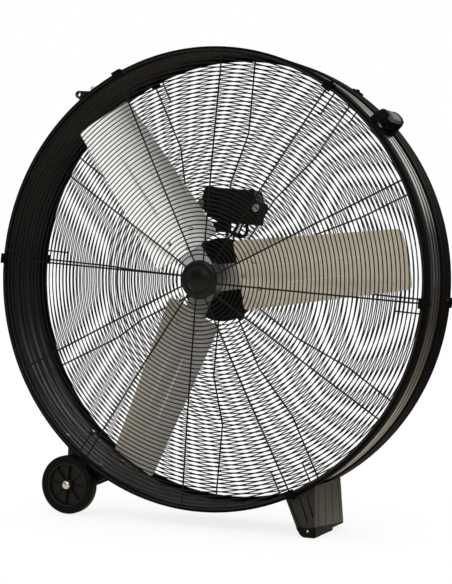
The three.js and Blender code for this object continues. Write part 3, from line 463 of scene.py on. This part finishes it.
def make_drum():
    """The drum's sheet, satin inside and glossy outside between dull collars, and the rear collar's screw."""
    outer = drum_line()
    inner = []
    for i, (r, d) in enumerate(outer):
        r0, d0 = outer[max(i - 1, 0)]
        r1, d1 = outer[min(i + 1, len(outer) - 1)]
        across = Vector((d1 - d0, r0 - r1)).normalized()
        inner.append((r - across.x * SHELL, d - across.y * SHELL))
    shape = Shape()
    shape.turned(outer + inner[::-1], DRUM_FACETS)
    drum = shape.piece("drum_skin", enamel, "enamel", replaces=("drum_shell",))
    drum.data.materials.append(gloss_enamel)
    drum.data.materials.append(collar_enamel)
    axis = Vector((AXIS_X, 0, AXIS_Z))
    for face in drum.data.polygons:
        depth = face.center.y - FRONT
        out = face.center - axis
        outside = face.normal.x * out.x + face.normal.z * out.z > 0
        if wall_from < depth < wall_to:
            face.material_index = 1 if outside else 0
        elif outside or depth < FRONT_LIP:
            face.material_index = 2
    place = on_station(RIM_SCREW[0])
    screw = Shape()
    screw.tube([place(DRUM_RADIUS + lift * MM, RIM_SCREW[1], 0) for lift in (-1, 0.9)], RIM_SCREW_RADIUS, 12)
    screw.piece("rim_screw", plated, "plated")


make_drum()

# ---------------------------------------------------------------- blades

BLADE_COUNT = 3
BLADE_THICKNESS = 2 * MM
CAMBER = 6 * MM
CORNER = 11 * MM                        # radius of the blade's rounded corners
TIP_BULGE = 2 * MM
TIP_RADIUS = DRUM_RADIUS - 53 * MM
BLADE_GRID = (48, 20)                   # rows and columns of a sheet's mesh
CREASES = [(-0.31, 0.27, 0.7), (0.24, 0.23, 0.76)]  # place across the blade, start and end along it
CREASE_FOOT = 0.4                       # how deep a crease's feet lie in the sheet, in millimetres
CREASE_SECTION = [(-2.0, CREASE_FOOT), (-1.4, -0.9), (1.4, -0.9), (2.0, CREASE_FOOT)]
RIVETS = [(0.105, 0.362), (0.021, -0.02), (0.11, -0.42)]    # places along and across the blade
RIVET_EDGE = [(4.8, 1.6), (4.8, -0.9), (4.4, -1.1)]         # radius and lift, in millimetres
RIVET_HEAD = [(3.3, -1.0), (3.3, -1.9), (2.2, -2.4)]
RIVET_FACETS = 16


def corner(radius, angle, depth):
    """A corner of the blade that points along +X, as (x, depth, z) from the drum's axis."""
    return Vector((radius * math.cos(angle), depth, radius * math.sin(angle)))


ROOT_LEAD = corner(119.4 * MM, 51.25 * DEGREE, 4.7 * MM)
ROOT_TRAIL = corner(114.2 * MM, -38.5 * DEGREE, 47.7 * MM)
TIP_LEAD = corner(TIP_RADIUS, 14.65 * DEGREE, 21.4 * MM)
TIP_TRAIL = corner(TIP_RADIUS, -1.25 * DEGREE, 62.6 * MM)


def corner_trim(distance):
    """What a rounded corner takes off the blade's edge at a distance from the blade's end."""
    if distance >= CORNER:
        return 0.0
    return CORNER - math.sqrt(CORNER ** 2 - (CORNER - distance) ** 2)


def blade_point(along, across):
    """A point of the blade's sheet, along 0 (root) to 1 (tip) and across -1 (trailing edge) to 1."""
    lead, trail = ROOT_LEAD.lerp(TIP_LEAD, along), ROOT_TRAIL.lerp(TIP_TRAIL, along)
    inside = max(0.0, min(along, 1 - along)) * (TIP_LEAD - ROOT_LEAD).length
    width = 1.0 if along < 0 else 1 - 2 * corner_trim(inside) / (lead - trail).length
    spot = trail.lerp(lead, 0.5 + across * width / 2)
    bow = 1 - across ** 2
    return spot.x + TIP_BULGE * bow * max(0.0, along), spot.y + CAMBER * bow, spot.z


def blade_sheet(shape, place, along_range, reach, lift, thickness, grid):
    """A sheet on the blade's surface, behind it by lift, with its rows closer together near both ends."""
    start, end = along_range
    rows, columns = grid
    loops = []
    for i in range(rows + 1):
        along = start + (end - start) * (0.5 - 0.5 * math.cos(math.pi * i / rows))
        front, back = [], []
        for j in range(columns + 1):
            x, depth, z = blade_point(along, reach * (2 * j / columns - 1))
            front.append(place(x, depth + lift - thickness / 2, z))
            back.append(place(x, depth + lift + thickness / 2, z))
        loops.append(front + back[::-1])
    shape.capped(loops)


def crease(shape, place, across, start, end, steps=28):
    """A pressed stiffening rib that runs along the blade's front and fades out at both ends."""
    rows = []
    for i in range(steps + 1):
        x, depth, z = blade_point(start + (end - start) * i / steps, across)
        rise = min(1.0, 4 * i / steps, 4 * (1 - i / steps))
        base = depth - BLADE_THICKNESS / 2 + CREASE_FOOT * MM
        rows.append([place(x, base + (lift - CREASE_FOOT) * rise * MM, z + side * MM)
                     for side, lift in CREASE_SECTION])
    shape.capped(rows)


def rivet(head, edge, place, along, across):
    """A flat rivet head on the blade's front, with the dark edge of its hole around it."""
    x, depth, z = blade_point(along, across)
    face = depth - BLADE_THICKNESS / 2
    turns = [2 * math.pi * k / RIVET_FACETS for k in range(RIVET_FACETS)]
    for shape, rows in ((edge, RIVET_EDGE), (head, RIVET_HEAD)):
        shape.capped([[place(x + radius * MM * math.cos(t), face + lift * MM, z + radius * MM * math.sin(t))
                       for t in turns] for radius, lift in rows])


def make_blade(number, turn):
    """One blade, drawn along +X and then turned, so that its grain runs along it."""
    place = on_station(0)
    skin, ribs, heads, edges = Shape(), Shape(), Shape(), Shape()
    blade_sheet(skin, place, (0, 1), 1, 0, BLADE_THICKNESS, BLADE_GRID)
    for line in CREASES:
        crease(ribs, place, *line)
    for spot in RIVETS:
        rivet(heads, edges, place, *spot)
    skin.piece(f"blade_sheet_{number}", sheet, "galvanised", "rotor", (f"blade_{number}",), 50, turn)
    # the creases carry the painted highlight
    ribs.piece(f"blade_creases_{number}", crease_highlight, "galvanised", "rotor", turn=turn)
    heads.piece(f"blade_rivets_{number}", sheet, "galvanised", "rotor", turn=turn)
    edges.piece(f"rivet_edges_{number}", wire_black, "grey_metal", "rotor", turn=turn)


blade_turns = [k * 2 * math.pi / BLADE_COUNT for k in range(BLADE_COUNT)]
for k, turn in enumerate(blade_turns):
    make_blade(k + 1, turn)

# ---------------------------------------------------------------- hub

ARM_THICKNESS = 3 * MM
ARM_RANGE = (-0.16, 0.13)               # along the blade
ARM_SHARE = 0.37                        # of the blade's width
ARM_GRID = (12, 8)
HUB_FACETS = 64


def make_hub():
    """The boss on the shaft, its web, and an arm behind each blade's root."""
    start, end = node_depths("blade_hub")
    bore, boss, web_edge = 9.8 * MM, 24 * MM, 42 * MM
    web_front, web_back = 41 * MM, 46 * MM
    hub = Shape()
    hub.turned([
        (bore, start), (boss - 1 * MM, start), (boss, start + 1 * MM), (boss, web_front),
        (web_edge, web_front), (web_edge, web_back), (boss, web_back), (boss, end), (bore, end)], HUB_FACETS)
    lift = (BLADE_THICKNESS + ARM_THICKNESS) / 2 + CLEARANCE
    for turn in blade_turns:
        blade_sheet(hub, on_station(turn), ARM_RANGE, ARM_SHARE, lift, ARM_THICKNESS, ARM_GRID)
    hub.piece("hub_spider", steel, "grey_metal", "rotor", ("blade_hub",))


make_hub()

# ---------------------------------------------------------------- badge

BADGE_RADIUS = 46.5 * MM
BADGE_STUD = 5 * MM
BADGE_FACETS = 96


def make_badge():
    """A bare cap: a sunk disc in a raised ring, a rounded edge, a hollow back and the stud."""
    face, stud_end = node_depths("hub_badge")
    seat = -FRONT_DOME - 2 * SPOKE_WIRE - 2 * CLEARANCE
    disc = BADGE_RING - 3.5 * MM
    profile = [
        (0.5 * MM, face + 1.6 * MM), (disc - 3 * MM, face + 1.6 * MM), (disc - 1 * MM, face + 2.6 * MM),
        (disc, face + 2.6 * MM), (disc + 2 * MM, face + 0.4 * MM), (disc + 4 * MM, face),
        (BADGE_RADIUS - 9 * MM, face + 0.4 * MM), (BADGE_RADIUS - 5 * MM, face + 1 * MM),
        (BADGE_RADIUS - 2 * MM, face + 2.4 * MM), (BADGE_RADIUS - 0.4 * MM, face + 4.4 * MM),
        (BADGE_RADIUS, seat - 0.6 * MM), (BADGE_RADIUS - 0.8 * MM, seat), (BADGE_RADIUS - 3 * MM, seat),
        (BADGE_RADIUS - 5 * MM, face + 4 * MM), (BADGE_STUD, face + 4 * MM), (BADGE_STUD, stud_end),
        (0.5 * MM, stud_end),
    ]
    shape = Shape()
    shape.spun(profile, BADGE_FACETS)
    shape.piece("badge_cap", badge_plastic, "badge_plastic", replaces=("hub_badge",), sharp=50)


make_badge()

# ---------------------------------------------------------------- transport wheel

WHEEL_WIDTH = 30 * MM
WHEEL_HUB = 13 * MM
AXLE_BORE = 6.3 * MM
TYRE_WIDTH = 19 * MM                    # how far the tyre reaches inwards
WHEEL_RIBS = 8
WHEEL_RIB_ANGLE = -5.5 * DEGREE
WHEEL_FACETS = 96
TREAD_ROUNDING = 7 * MM
RIB_HALF = 0.8 * MM
DOME_TURNS = (4, 20, 36, 52, 66, 78, 90)    # degrees from the cap's middle to its edge


def make_wheel():
    """The tyre, the ribbed centre with its hub, and the domed cap on the axle's end."""
    centre = node_middle("transport_wheel")
    radius = node_radius("transport_wheel")
    front, hub_back = node_depths("transport_wheel")
    back = front + WHEEL_WIDTH
    place = on_axis(centre)
    inner = radius - TYRE_WIDTH
    side_line = [(inner, 1.6 * MM), (inner + 3 * MM, 0.3 * MM)]
    for t in range(0, 91, 15):
        inset, depth = 1 - math.sin(t * DEGREE), 1 - math.cos(t * DEGREE)
        side_line.append((radius - TREAD_ROUNDING * inset, TREAD_ROUNDING * depth))
    band = Shape()
    band.turned([(r, front + d) for r, d in side_line] + [(r, back - d) for r, d in side_line[::-1]],
                WHEEL_FACETS, place)
    band.piece("wheel_tyre", tyre, "black_rubber", "wheel", sharp=50)

    middle = (front + back) / 2
    edge = inner - 0.2 * MM
    web = 3.5 * MM
    body = Shape()
    body.turned([
        (AXLE_BORE, front + 2 * MM), (WHEEL_HUB - 1 * MM, front + 2 * MM), (WHEEL_HUB, front + 3 * MM),
        (WHEEL_HUB + 1 * MM, middle - web), (edge - 5 * MM, middle - web), (edge - 3 * MM, front + 3 * MM),
        (edge, front + 2 * MM), (edge, back - 2 * MM), (edge - 3 * MM, back - 3 * MM),
        (edge - 5 * MM, middle + web), (WHEEL_HUB + 1 * MM, middle + web), (WHEEL_HUB, hub_back),
        (AXLE_BORE, hub_back),
    ], WHEEL_FACETS, place)
    for k in range(WHEEL_RIBS):
        angle = WHEEL_RIB_ANGLE + k * 2 * math.pi / WHEEL_RIBS
        out = Vector((math.cos(angle), 0, math.sin(angle)))
        side = Vector((-math.sin(angle), 0, math.cos(angle)))
        origin = Vector((centre.x, FRONT, centre.z))
        for start, end in ((front + 3.4 * MM, middle), (middle, back - 3.4 * MM)):
            body.block(
                [(WHEEL_HUB - 1 * MM, -RIB_HALF), (edge - 2 * MM, -RIB_HALF), (edge - 2 * MM, RIB_HALF),
                 (WHEEL_HUB - 1 * MM, RIB_HALF)],
                start, end, lambda x, depth, z: origin + out * x + Vector((0, depth, 0)) + side * z)
    body.piece("wheel_centre", wheel_plastic, "black_plastic", "wheel", ("transport_wheel",))

    front, back = node_depths("axle_cap")
    radius = node_radius("axle_cap")
    height = back - front - 2 * MM
    floor = back - 2.5 * MM
    cap = Shape()
    cap.spun([
        *((radius * math.sin(t * DEGREE), front + height * (1 - math.cos(t * DEGREE))) for t in DOME_TURNS),
        (radius, back), (AXLE_BORE, back), (AXLE_BORE, floor), (0.5 * MM, floor)], 48, place)
    cap.piece("axle_dome", plated, "plated", replaces=("axle_cap",))


make_wheel()

# ---------------------------------------------------------------- motor

MOTOR_FACETS = 96
MOTOR_FINS = 40
FIN_ROOT, FIN_TOP = 1.6 * MM, 1 * MM    # half a fin's thickness at its root and at its top
MOTOR_FLANGE = 101 * MM                 # outer radius of the mounting ring


def make_motor():
    """The front bell, the mounting ring around it, the finned shell and the rear cover."""
    radius = node_radius("motor_bell")
    start, end = node_depths("motor_bell")
    bore = 10 * MM
    shaft_room = start + 12.5 * MM
    bell = Shape()
    bell.turned([
        (bore, start), (radius - 16 * MM, start), (radius - 8 * MM, start + 2 * MM),
        (radius - 3 * MM, start + 6 * MM), (radius, start + 11 * MM), (radius, end - 1 * MM),
        (radius - 1 * MM, end), (bore, end), (bore, shaft_room),
    ], MOTOR_FACETS)
    bell.piece("motor_front_bell", enamel, "enamel", replaces=("motor_bell",))

    start, end = node_depths("motor_plate")
    front, back = start + CLEARANCE, end - CLEARANCE
    flange = Shape()
    flange.turned([
        (radius - 8 * MM, front), (MOTOR_FLANGE - 0.5 * MM, front), (MOTOR_FLANGE, front + 0.5 * MM),
        (MOTOR_FLANGE, back), (radius - 8 * MM, back)], MOTOR_FACETS)
    flange.piece("motor_flange", enamel, "enamel")

    start, end = node_depths("motor_shell")
    core = radius - 6 * MM
    shell = Shape()
    shell.turned([(core - 20 * MM, start), (core, start), (core, end), (core - 20 * MM, end)], MOTOR_FACETS)
    for k in range(MOTOR_FINS):
        place = on_station(2 * math.pi * k / MOTOR_FINS)
        shell.block(
            [(core - 1 * MM, -FIN_ROOT), (radius, -FIN_TOP), (radius, FIN_TOP), (core - 1 * MM, FIN_ROOT)],
            start, end, place)
    shell.piece("motor_finned_shell", enamel, "enamel", replaces=("motor_shell",))

    start, end = node_depths("motor_rear_cap")
    boss = 27 * MM
    cap = Shape()
    cap.spun([
        (0.5 * MM, start + 4 * MM), (radius - 16 * MM, start + 4 * MM), (radius - 8 * MM, start),
        (radius, start), (radius, start + 5 * MM), (radius - 3 * MM, end - 6 * MM),
        (radius - 10 * MM, end - 3 * MM),
        (boss + 5 * MM, end - 3 * MM), (boss + 1 * MM, end - 0.6 * MM), (boss, end), (0.5 * MM, end),
    ], MOTOR_FACETS)
    cap.piece("motor_back_cover", enamel, "enamel", replaces=("motor_rear_cap",))


make_motor()

# ---------------------------------------------------------------- cord grip and motor lead

# all sizes of the grip and the lead are in millimetres, laid out (across, up) from the drum's axis
GRIP_OUTLINE = [(-34, 141), (-33, 134), (-24, 117), (-22, 116), (2, 116), (4, 117), (4, 141)]
GRIP_SPARE = 4                          # what the grip adds in front of the gland and behind it
LEAD_LINES = [                          # each strand's radius, then its line
    (4.2, [(-6, 121), (11, 115), (24, 108.5), (38, 105.5), (47, 109.5), (51.5, 119), (51, 131), (48, 143)]),
    (2.2, [(31, 141), (26, 127), (17, 114)]),
    (2.2, [(40, 141), (35, 125), (27, 109)]),
    (2.2, [(2, 119), (1, 106), (6, 80)]),
    (2.2, [(13, 116), (17, 104), (15, 79)]),
]


def rounded(line, steps=5):
    """A line of points drawn through the given ones without kinks."""
    ends = [line[0], *line, line[-1]]
    spots = []
    for four in zip(ends, ends[1:], ends[2:], ends[3:]):
        for i in range(steps):
            t = i / steps
            weights = (-t + 2 * t ** 2 - t ** 3, 2 - 5 * t ** 2 + 3 * t ** 3,
                       t + 4 * t ** 2 - 3 * t ** 3, t ** 3 - t ** 2)
            spots.append(tuple(sum(w * p[n] for w, p in zip(weights, four)) / 2 for n in (0, 1)))
    return [*spots, line[-1]]


def make_lead():
    """The cord grip under the switch box, and the lead that leaves the box, loops and enters the motor."""
    front, back = (depth / MM for depth in node_depths("cable_gland"))
    grip = Shape()
    grip.block(GRIP_OUTLINE, front - GRIP_SPARE, back + GRIP_SPARE, drawn)
    grip.piece("cord_grip", black_plastic, "black_plastic", replaces=("cable_gland",))
    lead = Shape()
    for radius, line in LEAD_LINES:
        lead.tube([drawn(x, (front + back) / 2, z) for x, z in rounded(line)], radius * MM, 10)
    lead.piece("looped_lead", rubber, "black_rubber", replaces=("motor_lead",))


make_lead()

# ---------------------------------------------------------------- switch marks

KNOB_STEPS = (0, 45, 90, 135)           # off and three speeds, in degrees
INDEX_LINE = (4, 15, 1.1)               # millimetres: start and end from the knob's axis, half the width
TICK = (21.5, 26, 0.8)
PAINT = (-0.3, 0.25)                    # a mark's back and front, from the face that carries it


def make_marks():
    """A painted index line on the speed knob, and a tick for each of its positions on the box's cover."""
    middle = node_middle("speed_knob")

    def stroke(shape, turn, mark, face):
        start, end, half = mark
        out = Vector((math.sin(turn * DEGREE), 0, math.cos(turn * DEGREE)))
        side = Vector((out.z, 0, -out.x))
        spots = [out * along * MM + side * across * MM
                 for along, across in ((start, -half), (end, -half), (end, half), (start, half))]
        shape.capped([[Vector((middle.x, face + lift * MM, middle.z)) + spot for spot in spots]
                      for lift in PAINT])

    index, ticks = Shape(), Shape()
    stroke(index, 0, INDEX_LINE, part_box("speed_knob")[1].y)
    index.piece("knob_index", mark_paint, "grey_plastic", "knob")
    for turn in KNOB_STEPS:
        stroke(ticks, turn, TICK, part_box("switch_box_cover")[1].y)
    ticks.piece("switch_ticks", mark_paint, "grey_plastic")


make_marks()

# ---------------------------------------------------------------- foot: front panel, painted shade along its grooves, and the toe

# all sizes here are in millimetres, and an outline is laid out (across, up) from the drum's axis
PANEL_DEPTH, PANEL_HEIGHT = 20.4, -490  # the panel's depth behind the front rim, at this height
PANEL_SLOPE = 0.096
PANEL_OUTLINE = [
    (226, -508.5), (247.7, -497.5), (269, -486), (285, -477), (288, -477), (288.5, -569), (262, -569)]
# top and bottom of each groove, along which a dark strip is laid as painted shade
GROOVE_SHADE_LINES = [((250.3, -497), (273.2, -552)), ((268.4, -491), (286.5, -541))]
TOP_HALF, BOTTOM_HALF = 1.1, 1.9        # half a shade strip's width at its two ends
PANEL_LIFTS, GROOVE_SHADE_LIFTS = (1.2, 0), (1.7, 0.6)
TOE_OUTLINE = [
    (248.3, -565), (249.5, -569), (251.9, -572.8), (257.7, -578.5), (266.5, -584), (273.9, -586.9),
    (292, -586.9), (294.6, -585.8), (295.4, -583), (295.2, -563.5), (271, -567)]
TOE_DEPTHS = (5.2, 9.5)
# (depth, up): the strip that runs back from the toe along the foot's side
TOE_SIDE = [
    (5.2, -586.4), (5.2, -563.5), (28, -563.8), (109, -570.5), (198, -576.5), (198, -579), (76, -578.8),
    (42, -586.4)]
TOE_SIDE_ACROSS = (292.5, 295.4)
TOE_SCREW = (277, -572.2)
TOE_SCREW_RINGS = [(2.6, 5.6), (2.6, 4.6), (1.8, 4.1)]      # radius and depth
TOE_SCREW_FACETS = 8


def foot_front(x, z, lift):
    """A point lifted off the foot's front panel, which comes forward towards the floor."""
    return drawn(x, PANEL_DEPTH + (z - PANEL_HEIGHT) * PANEL_SLOPE - lift, z)


def make_foot():
    """The front panel with a near-black strip of painted shade along each of its two grooves, and the rubber
    toe with its screw.
    """
    panel, groove_shade, toe, screw = Shape(), Shape(), Shape(), Shape()
    panel.capped([[foot_front(x, z, lift) for x, z in PANEL_OUTLINE] for lift in PANEL_LIFTS])
    panel.piece("foot_front_panel", foot_plastic, "black_plastic")
    # near-black strips along the grooves: painted shade, standing a little proud of the panel
    for top, bottom in GROOVE_SHADE_LINES:
        line = [(top[0] - TOP_HALF, top[1]), (top[0] + TOP_HALF, top[1]),
                (bottom[0] + BOTTOM_HALF, bottom[1]), (bottom[0] - BOTTOM_HALF, bottom[1])]
        groove_shade.capped([[foot_front(x, z, lift) for x, z in line] for lift in GROOVE_SHADE_LIFTS])
    groove_shade.piece("foot_groove_painted_shade", collar_enamel, "black_plastic")
    toe.block(TOE_OUTLINE, *TOE_DEPTHS, drawn)
    toe.capped([[drawn(x, depth, z) for depth, z in TOE_SIDE] for x in TOE_SIDE_ACROSS])
    toe.piece("foot_toe", tyre, "black_rubber")
    turns = [2 * math.pi * k / TOE_SCREW_FACETS for k in range(TOE_SCREW_FACETS)]
    screw.capped([
        [drawn(TOE_SCREW[0] + r * math.cos(t), depth, TOE_SCREW[1] + r * math.sin(t)) for t in turns]
        for r, depth in TOE_SCREW_RINGS])
    screw.piece("toe_screw", plated, "plated")


make_foot()

# ---------------------------------------------------------------- other CAD nodes: finishes and soft edges

replaced = {
    "front_guard", "rear_guard", "drum_shell", "blade_1", "blade_2", "blade_3", "blade_hub", "hub_badge",
    "transport_wheel", "axle_cap", "motor_bell", "motor_shell", "motor_rear_cap", "cable_gland", "motor_lead",
}
EDGE = 0.5                              # rounding of the nodes' edges, in millimetres
wide_edges = {
    "foot_body": 1.6, "foot_pad": 2.0, "handle_bracket_front": 1.6, "handle_bracket_rear": 1.6,
    "handle_grip": 1.6, "switch_box": 1.5, "switch_box_cover": 1.2, "speed_knob": 1.0,
}
special = {
    # the handle's rear screw is darkened as painted shade under the grip; the motor bolts get the same dark
    # plating
    "foot_body": foot_plastic, "handle_screw_2": dark_plating_and_shade, "handle_bracket_front": deep_black,
    "handle_bracket_rear": deep_black, **{f"motor_bolt_{k}": dark_plating_and_shade for k in (1, 2, 3, 4)},
    **{f"{end}_clip_{k}": collar_enamel for end in ("front", "rear") for k in range(1, CLIP_COUNT + 1)},
}
slot_of = {row["node"]: row["material_slot"] for row in frame["record"]["subparts"]}


def soften(piece, width):
    """Rounds the edges of a CAD node with modifiers; its own mesh stays as it is."""
    if "custom_normal" in piece.data.attributes:
        piece.data.attributes.remove(piece.data.attributes["custom_normal"])
    piece.data.shade_smooth()
    weld = piece.modifiers.new("weld", "WELD")
    weld.merge_threshold = 0.01 * MM
    edges = piece.modifiers.new("edges", "BEVEL")
    edges.width = width
    edges.segments = 2
    edges.limit_method = "ANGLE"
    edges.angle_limit = 32 * DEGREE
    piece.modifiers.new("normals", "WEIGHTED_NORMAL")


for node, piece in nodes.items():
    if node in replaced:
        continue
    piece.data.materials.clear()
    piece.data.materials.append(special.get(node, slot_materials[slot_of[node]]))
    soften(piece, wide_edges.get(node, EDGE) * MM)

# ---------------------------------------------------------------- floor, lamps and world

PAPER = (0.86, 0.86, 0.86)
FLOOR_REACH = 40.0
FLOOR_DROP = 0.5 * MM                   # keeps the floor clear of the part's own feet
WHITE_STRENGTH = 1.16                   # of what the camera sees of the floor, beside its shaded share
WHITE_SHARE = 0.7
MIRRORED_FLOOR = (0.76, 0.68, 0.535)
MIRRORED_FADE = (0.5, 1.3, 1.0, 0.14)   # from and to along Y, and the strength at either end
SOFTBOX_PLACE = (0.3, FRONT - 2.7, 2.1)
SOFTBOX_SIZE = 1.7
SOFTBOX_RADIANCE = 1.3
CARD_COLOUR = (1.3, 1.25, 1.17)


def smooth_range(tree, source, start, end, low, high):
    """A smooth change from low to high as the source goes from start to end."""
    node = add_node(tree, "ShaderNodeMapRange", From_Min=start, From_Max=end, To_Min=low, To_Max=high)
    node.interpolation_type = "SMOOTHSTEP"
    tree.links.new(source, node.inputs["Value"])
    return node.outputs["Result"]


def combine(tree, operation, a, b):
    """A sum, product or other operation on two outputs, or on an output and a number."""
    node = tree.nodes.new("ShaderNodeMath")
    node.operation = operation
    for value, socket in zip((a, b), node.inputs):
        if isinstance(value, float):
            socket.default_value = value
        else:
            tree.links.new(value, socket)
    return node.outputs[0]


def mix(tree, share, a, b):
    """The shader a where the share is 0 and the shader b where it is 1."""
    node = tree.nodes.new("ShaderNodeMixShader")
    for source, socket in zip((share, a, b), node.inputs):
        tree.links.new(source, socket)
    return node.outputs[0]


def make_floor():
    """A pale floor that looks white and keeps the shadow, and is mirrored warmer and darker at the back."""
    mesh = bpy.data.meshes.new("floor")
    far = FLOOR_REACH
    mesh.from_pydata([(-far, -far, 0), (far, -far, 0), (far, far, 0), (-far, far, 0)], [], [(0, 1, 2, 3)])
    floor = bpy.data.objects.new("floor", mesh)
    floor.location.z = -FLOOR_DROP
    bpy.context.scene.collection.objects.link(floor)
    material, tree, shader = new_material("paper_floor")
    shader.inputs["Base Color"].default_value = (*PAPER, 1)
    shader.inputs["Roughness"].default_value = 0.9
    ray = tree.nodes.new("ShaderNodeLightPath")
    where = tree.nodes.new("ShaderNodeTexCoord")
    split = tree.nodes.new("ShaderNodeSeparateXYZ")
    tree.links.new(where.outputs["Object"], split.inputs[0])
    white = add_node(tree, "ShaderNodeEmission", Strength=WHITE_STRENGTH)
    warm = add_node(tree, "ShaderNodeEmission", Color=(*MIRRORED_FLOOR, 1))
    tree.links.new(smooth_range(tree, split.outputs["Y"], *MIRRORED_FADE), warm.inputs["Strength"])
    share = combine(tree, "MULTIPLY", ray.outputs["Is Camera Ray"], WHITE_SHARE)
    seen = mix(tree, share, shader.outputs[0], white.outputs[0])
    whole = mix(tree, ray.outputs["Is Glossy Ray"], seen, warm.outputs[0])
    tree.links.new(whole, tree.nodes["Material Output"].inputs["Surface"])
    mesh.materials.append(material)


def make_softbox():
    """One square lamp high in front, turned to the middle of the fan."""
    data = bpy.data.lights.new("softbox", "AREA")
    data.shape = "SQUARE"
    data.size = SOFTBOX_SIZE
    data.energy = math.pi * SOFTBOX_SIZE ** 2 * SOFTBOX_RADIANCE
    lamp = bpy.data.objects.new("softbox", data)
    lamp.location = SOFTBOX_PLACE
    way = Vector((AXIS_X, FRONT, AXIS_Z)) - Vector(SOFTBOX_PLACE)
    lamp.rotation_euler = way.to_track_quat("-Z", "Y").to_euler()
    bpy.context.scene.collection.objects.link(lamp)


def make_world():
    """White where it is seen, a soft sky as light, and a studio with bright cards where it is mirrored."""
    world = bpy.data.worlds.new("studio")
    world.use_nodes = True
    tree = world.node_tree
    way = tree.nodes.new("ShaderNodeTexCoord")
    split = tree.nodes.new("ShaderNodeSeparateXYZ")
    tree.links.new(way.outputs["Generated"], split.inputs[0])
    rise = lambda axis, *ends: smooth_range(tree, split.outputs[axis], *ends)
    times = lambda a, b: combine(tree, "MULTIPLY", a, b)
    plus = lambda a, b: combine(tree, "ADD", a, b)

    def light(strength=None, colour=(1, 1, 1)):
        node = add_node(tree, "ShaderNodeBackground", Color=(*colour, 1), Strength=1.0)
        if strength:
            tree.links.new(strength, node.inputs["Strength"])
        return node.outputs[0]

    # each rise: start and end along the axis, then the values there
    behind = times(rise("Y", 0.3, 0.8, 0, 1), rise("Z", 0.14, 0.24, 0.06, 1))
    rear_card = times(behind, times(rise("X", -0.15, 0.0, 0, 1), rise("X", 0.36, 0.46, 1, 0)))
    front_card = times(times(rise("Y", -0.9, -0.7, 1.1, 0), rise("Z", 0.2, 0.32, 0, 1)),
                       rise("X", -0.3, -0.1, 0, 1))
    around = plus(rise("X", -0.9, -0.45, 0.32, 0.09), rise("Z", 0.2, 0.75, 0, 0.5))
    mirrored = mix(tree, rear_card, light(plus(around, front_card)), light(colour=CARD_COLOUR))
    sky = light(rise("Z", 0.0, 1.0, 0.62, 1.0))
    ray = tree.nodes.new("ShaderNodeLightPath")
    plain = combine(tree, "MAXIMUM", ray.outputs["Is Camera Ray"], ray.outputs["Is Transmission Ray"])
    whole = mix(tree, plain, mix(tree, ray.outputs["Is Glossy Ray"], sky, mirrored), light())
    tree.links.new(whole, tree.nodes["World Output"].inputs["Surface"])
    bpy.context.scene.world = world


make_floor()
make_world()
make_softbox()
bpy.context.scene.view_settings.view_transform = "Standard"
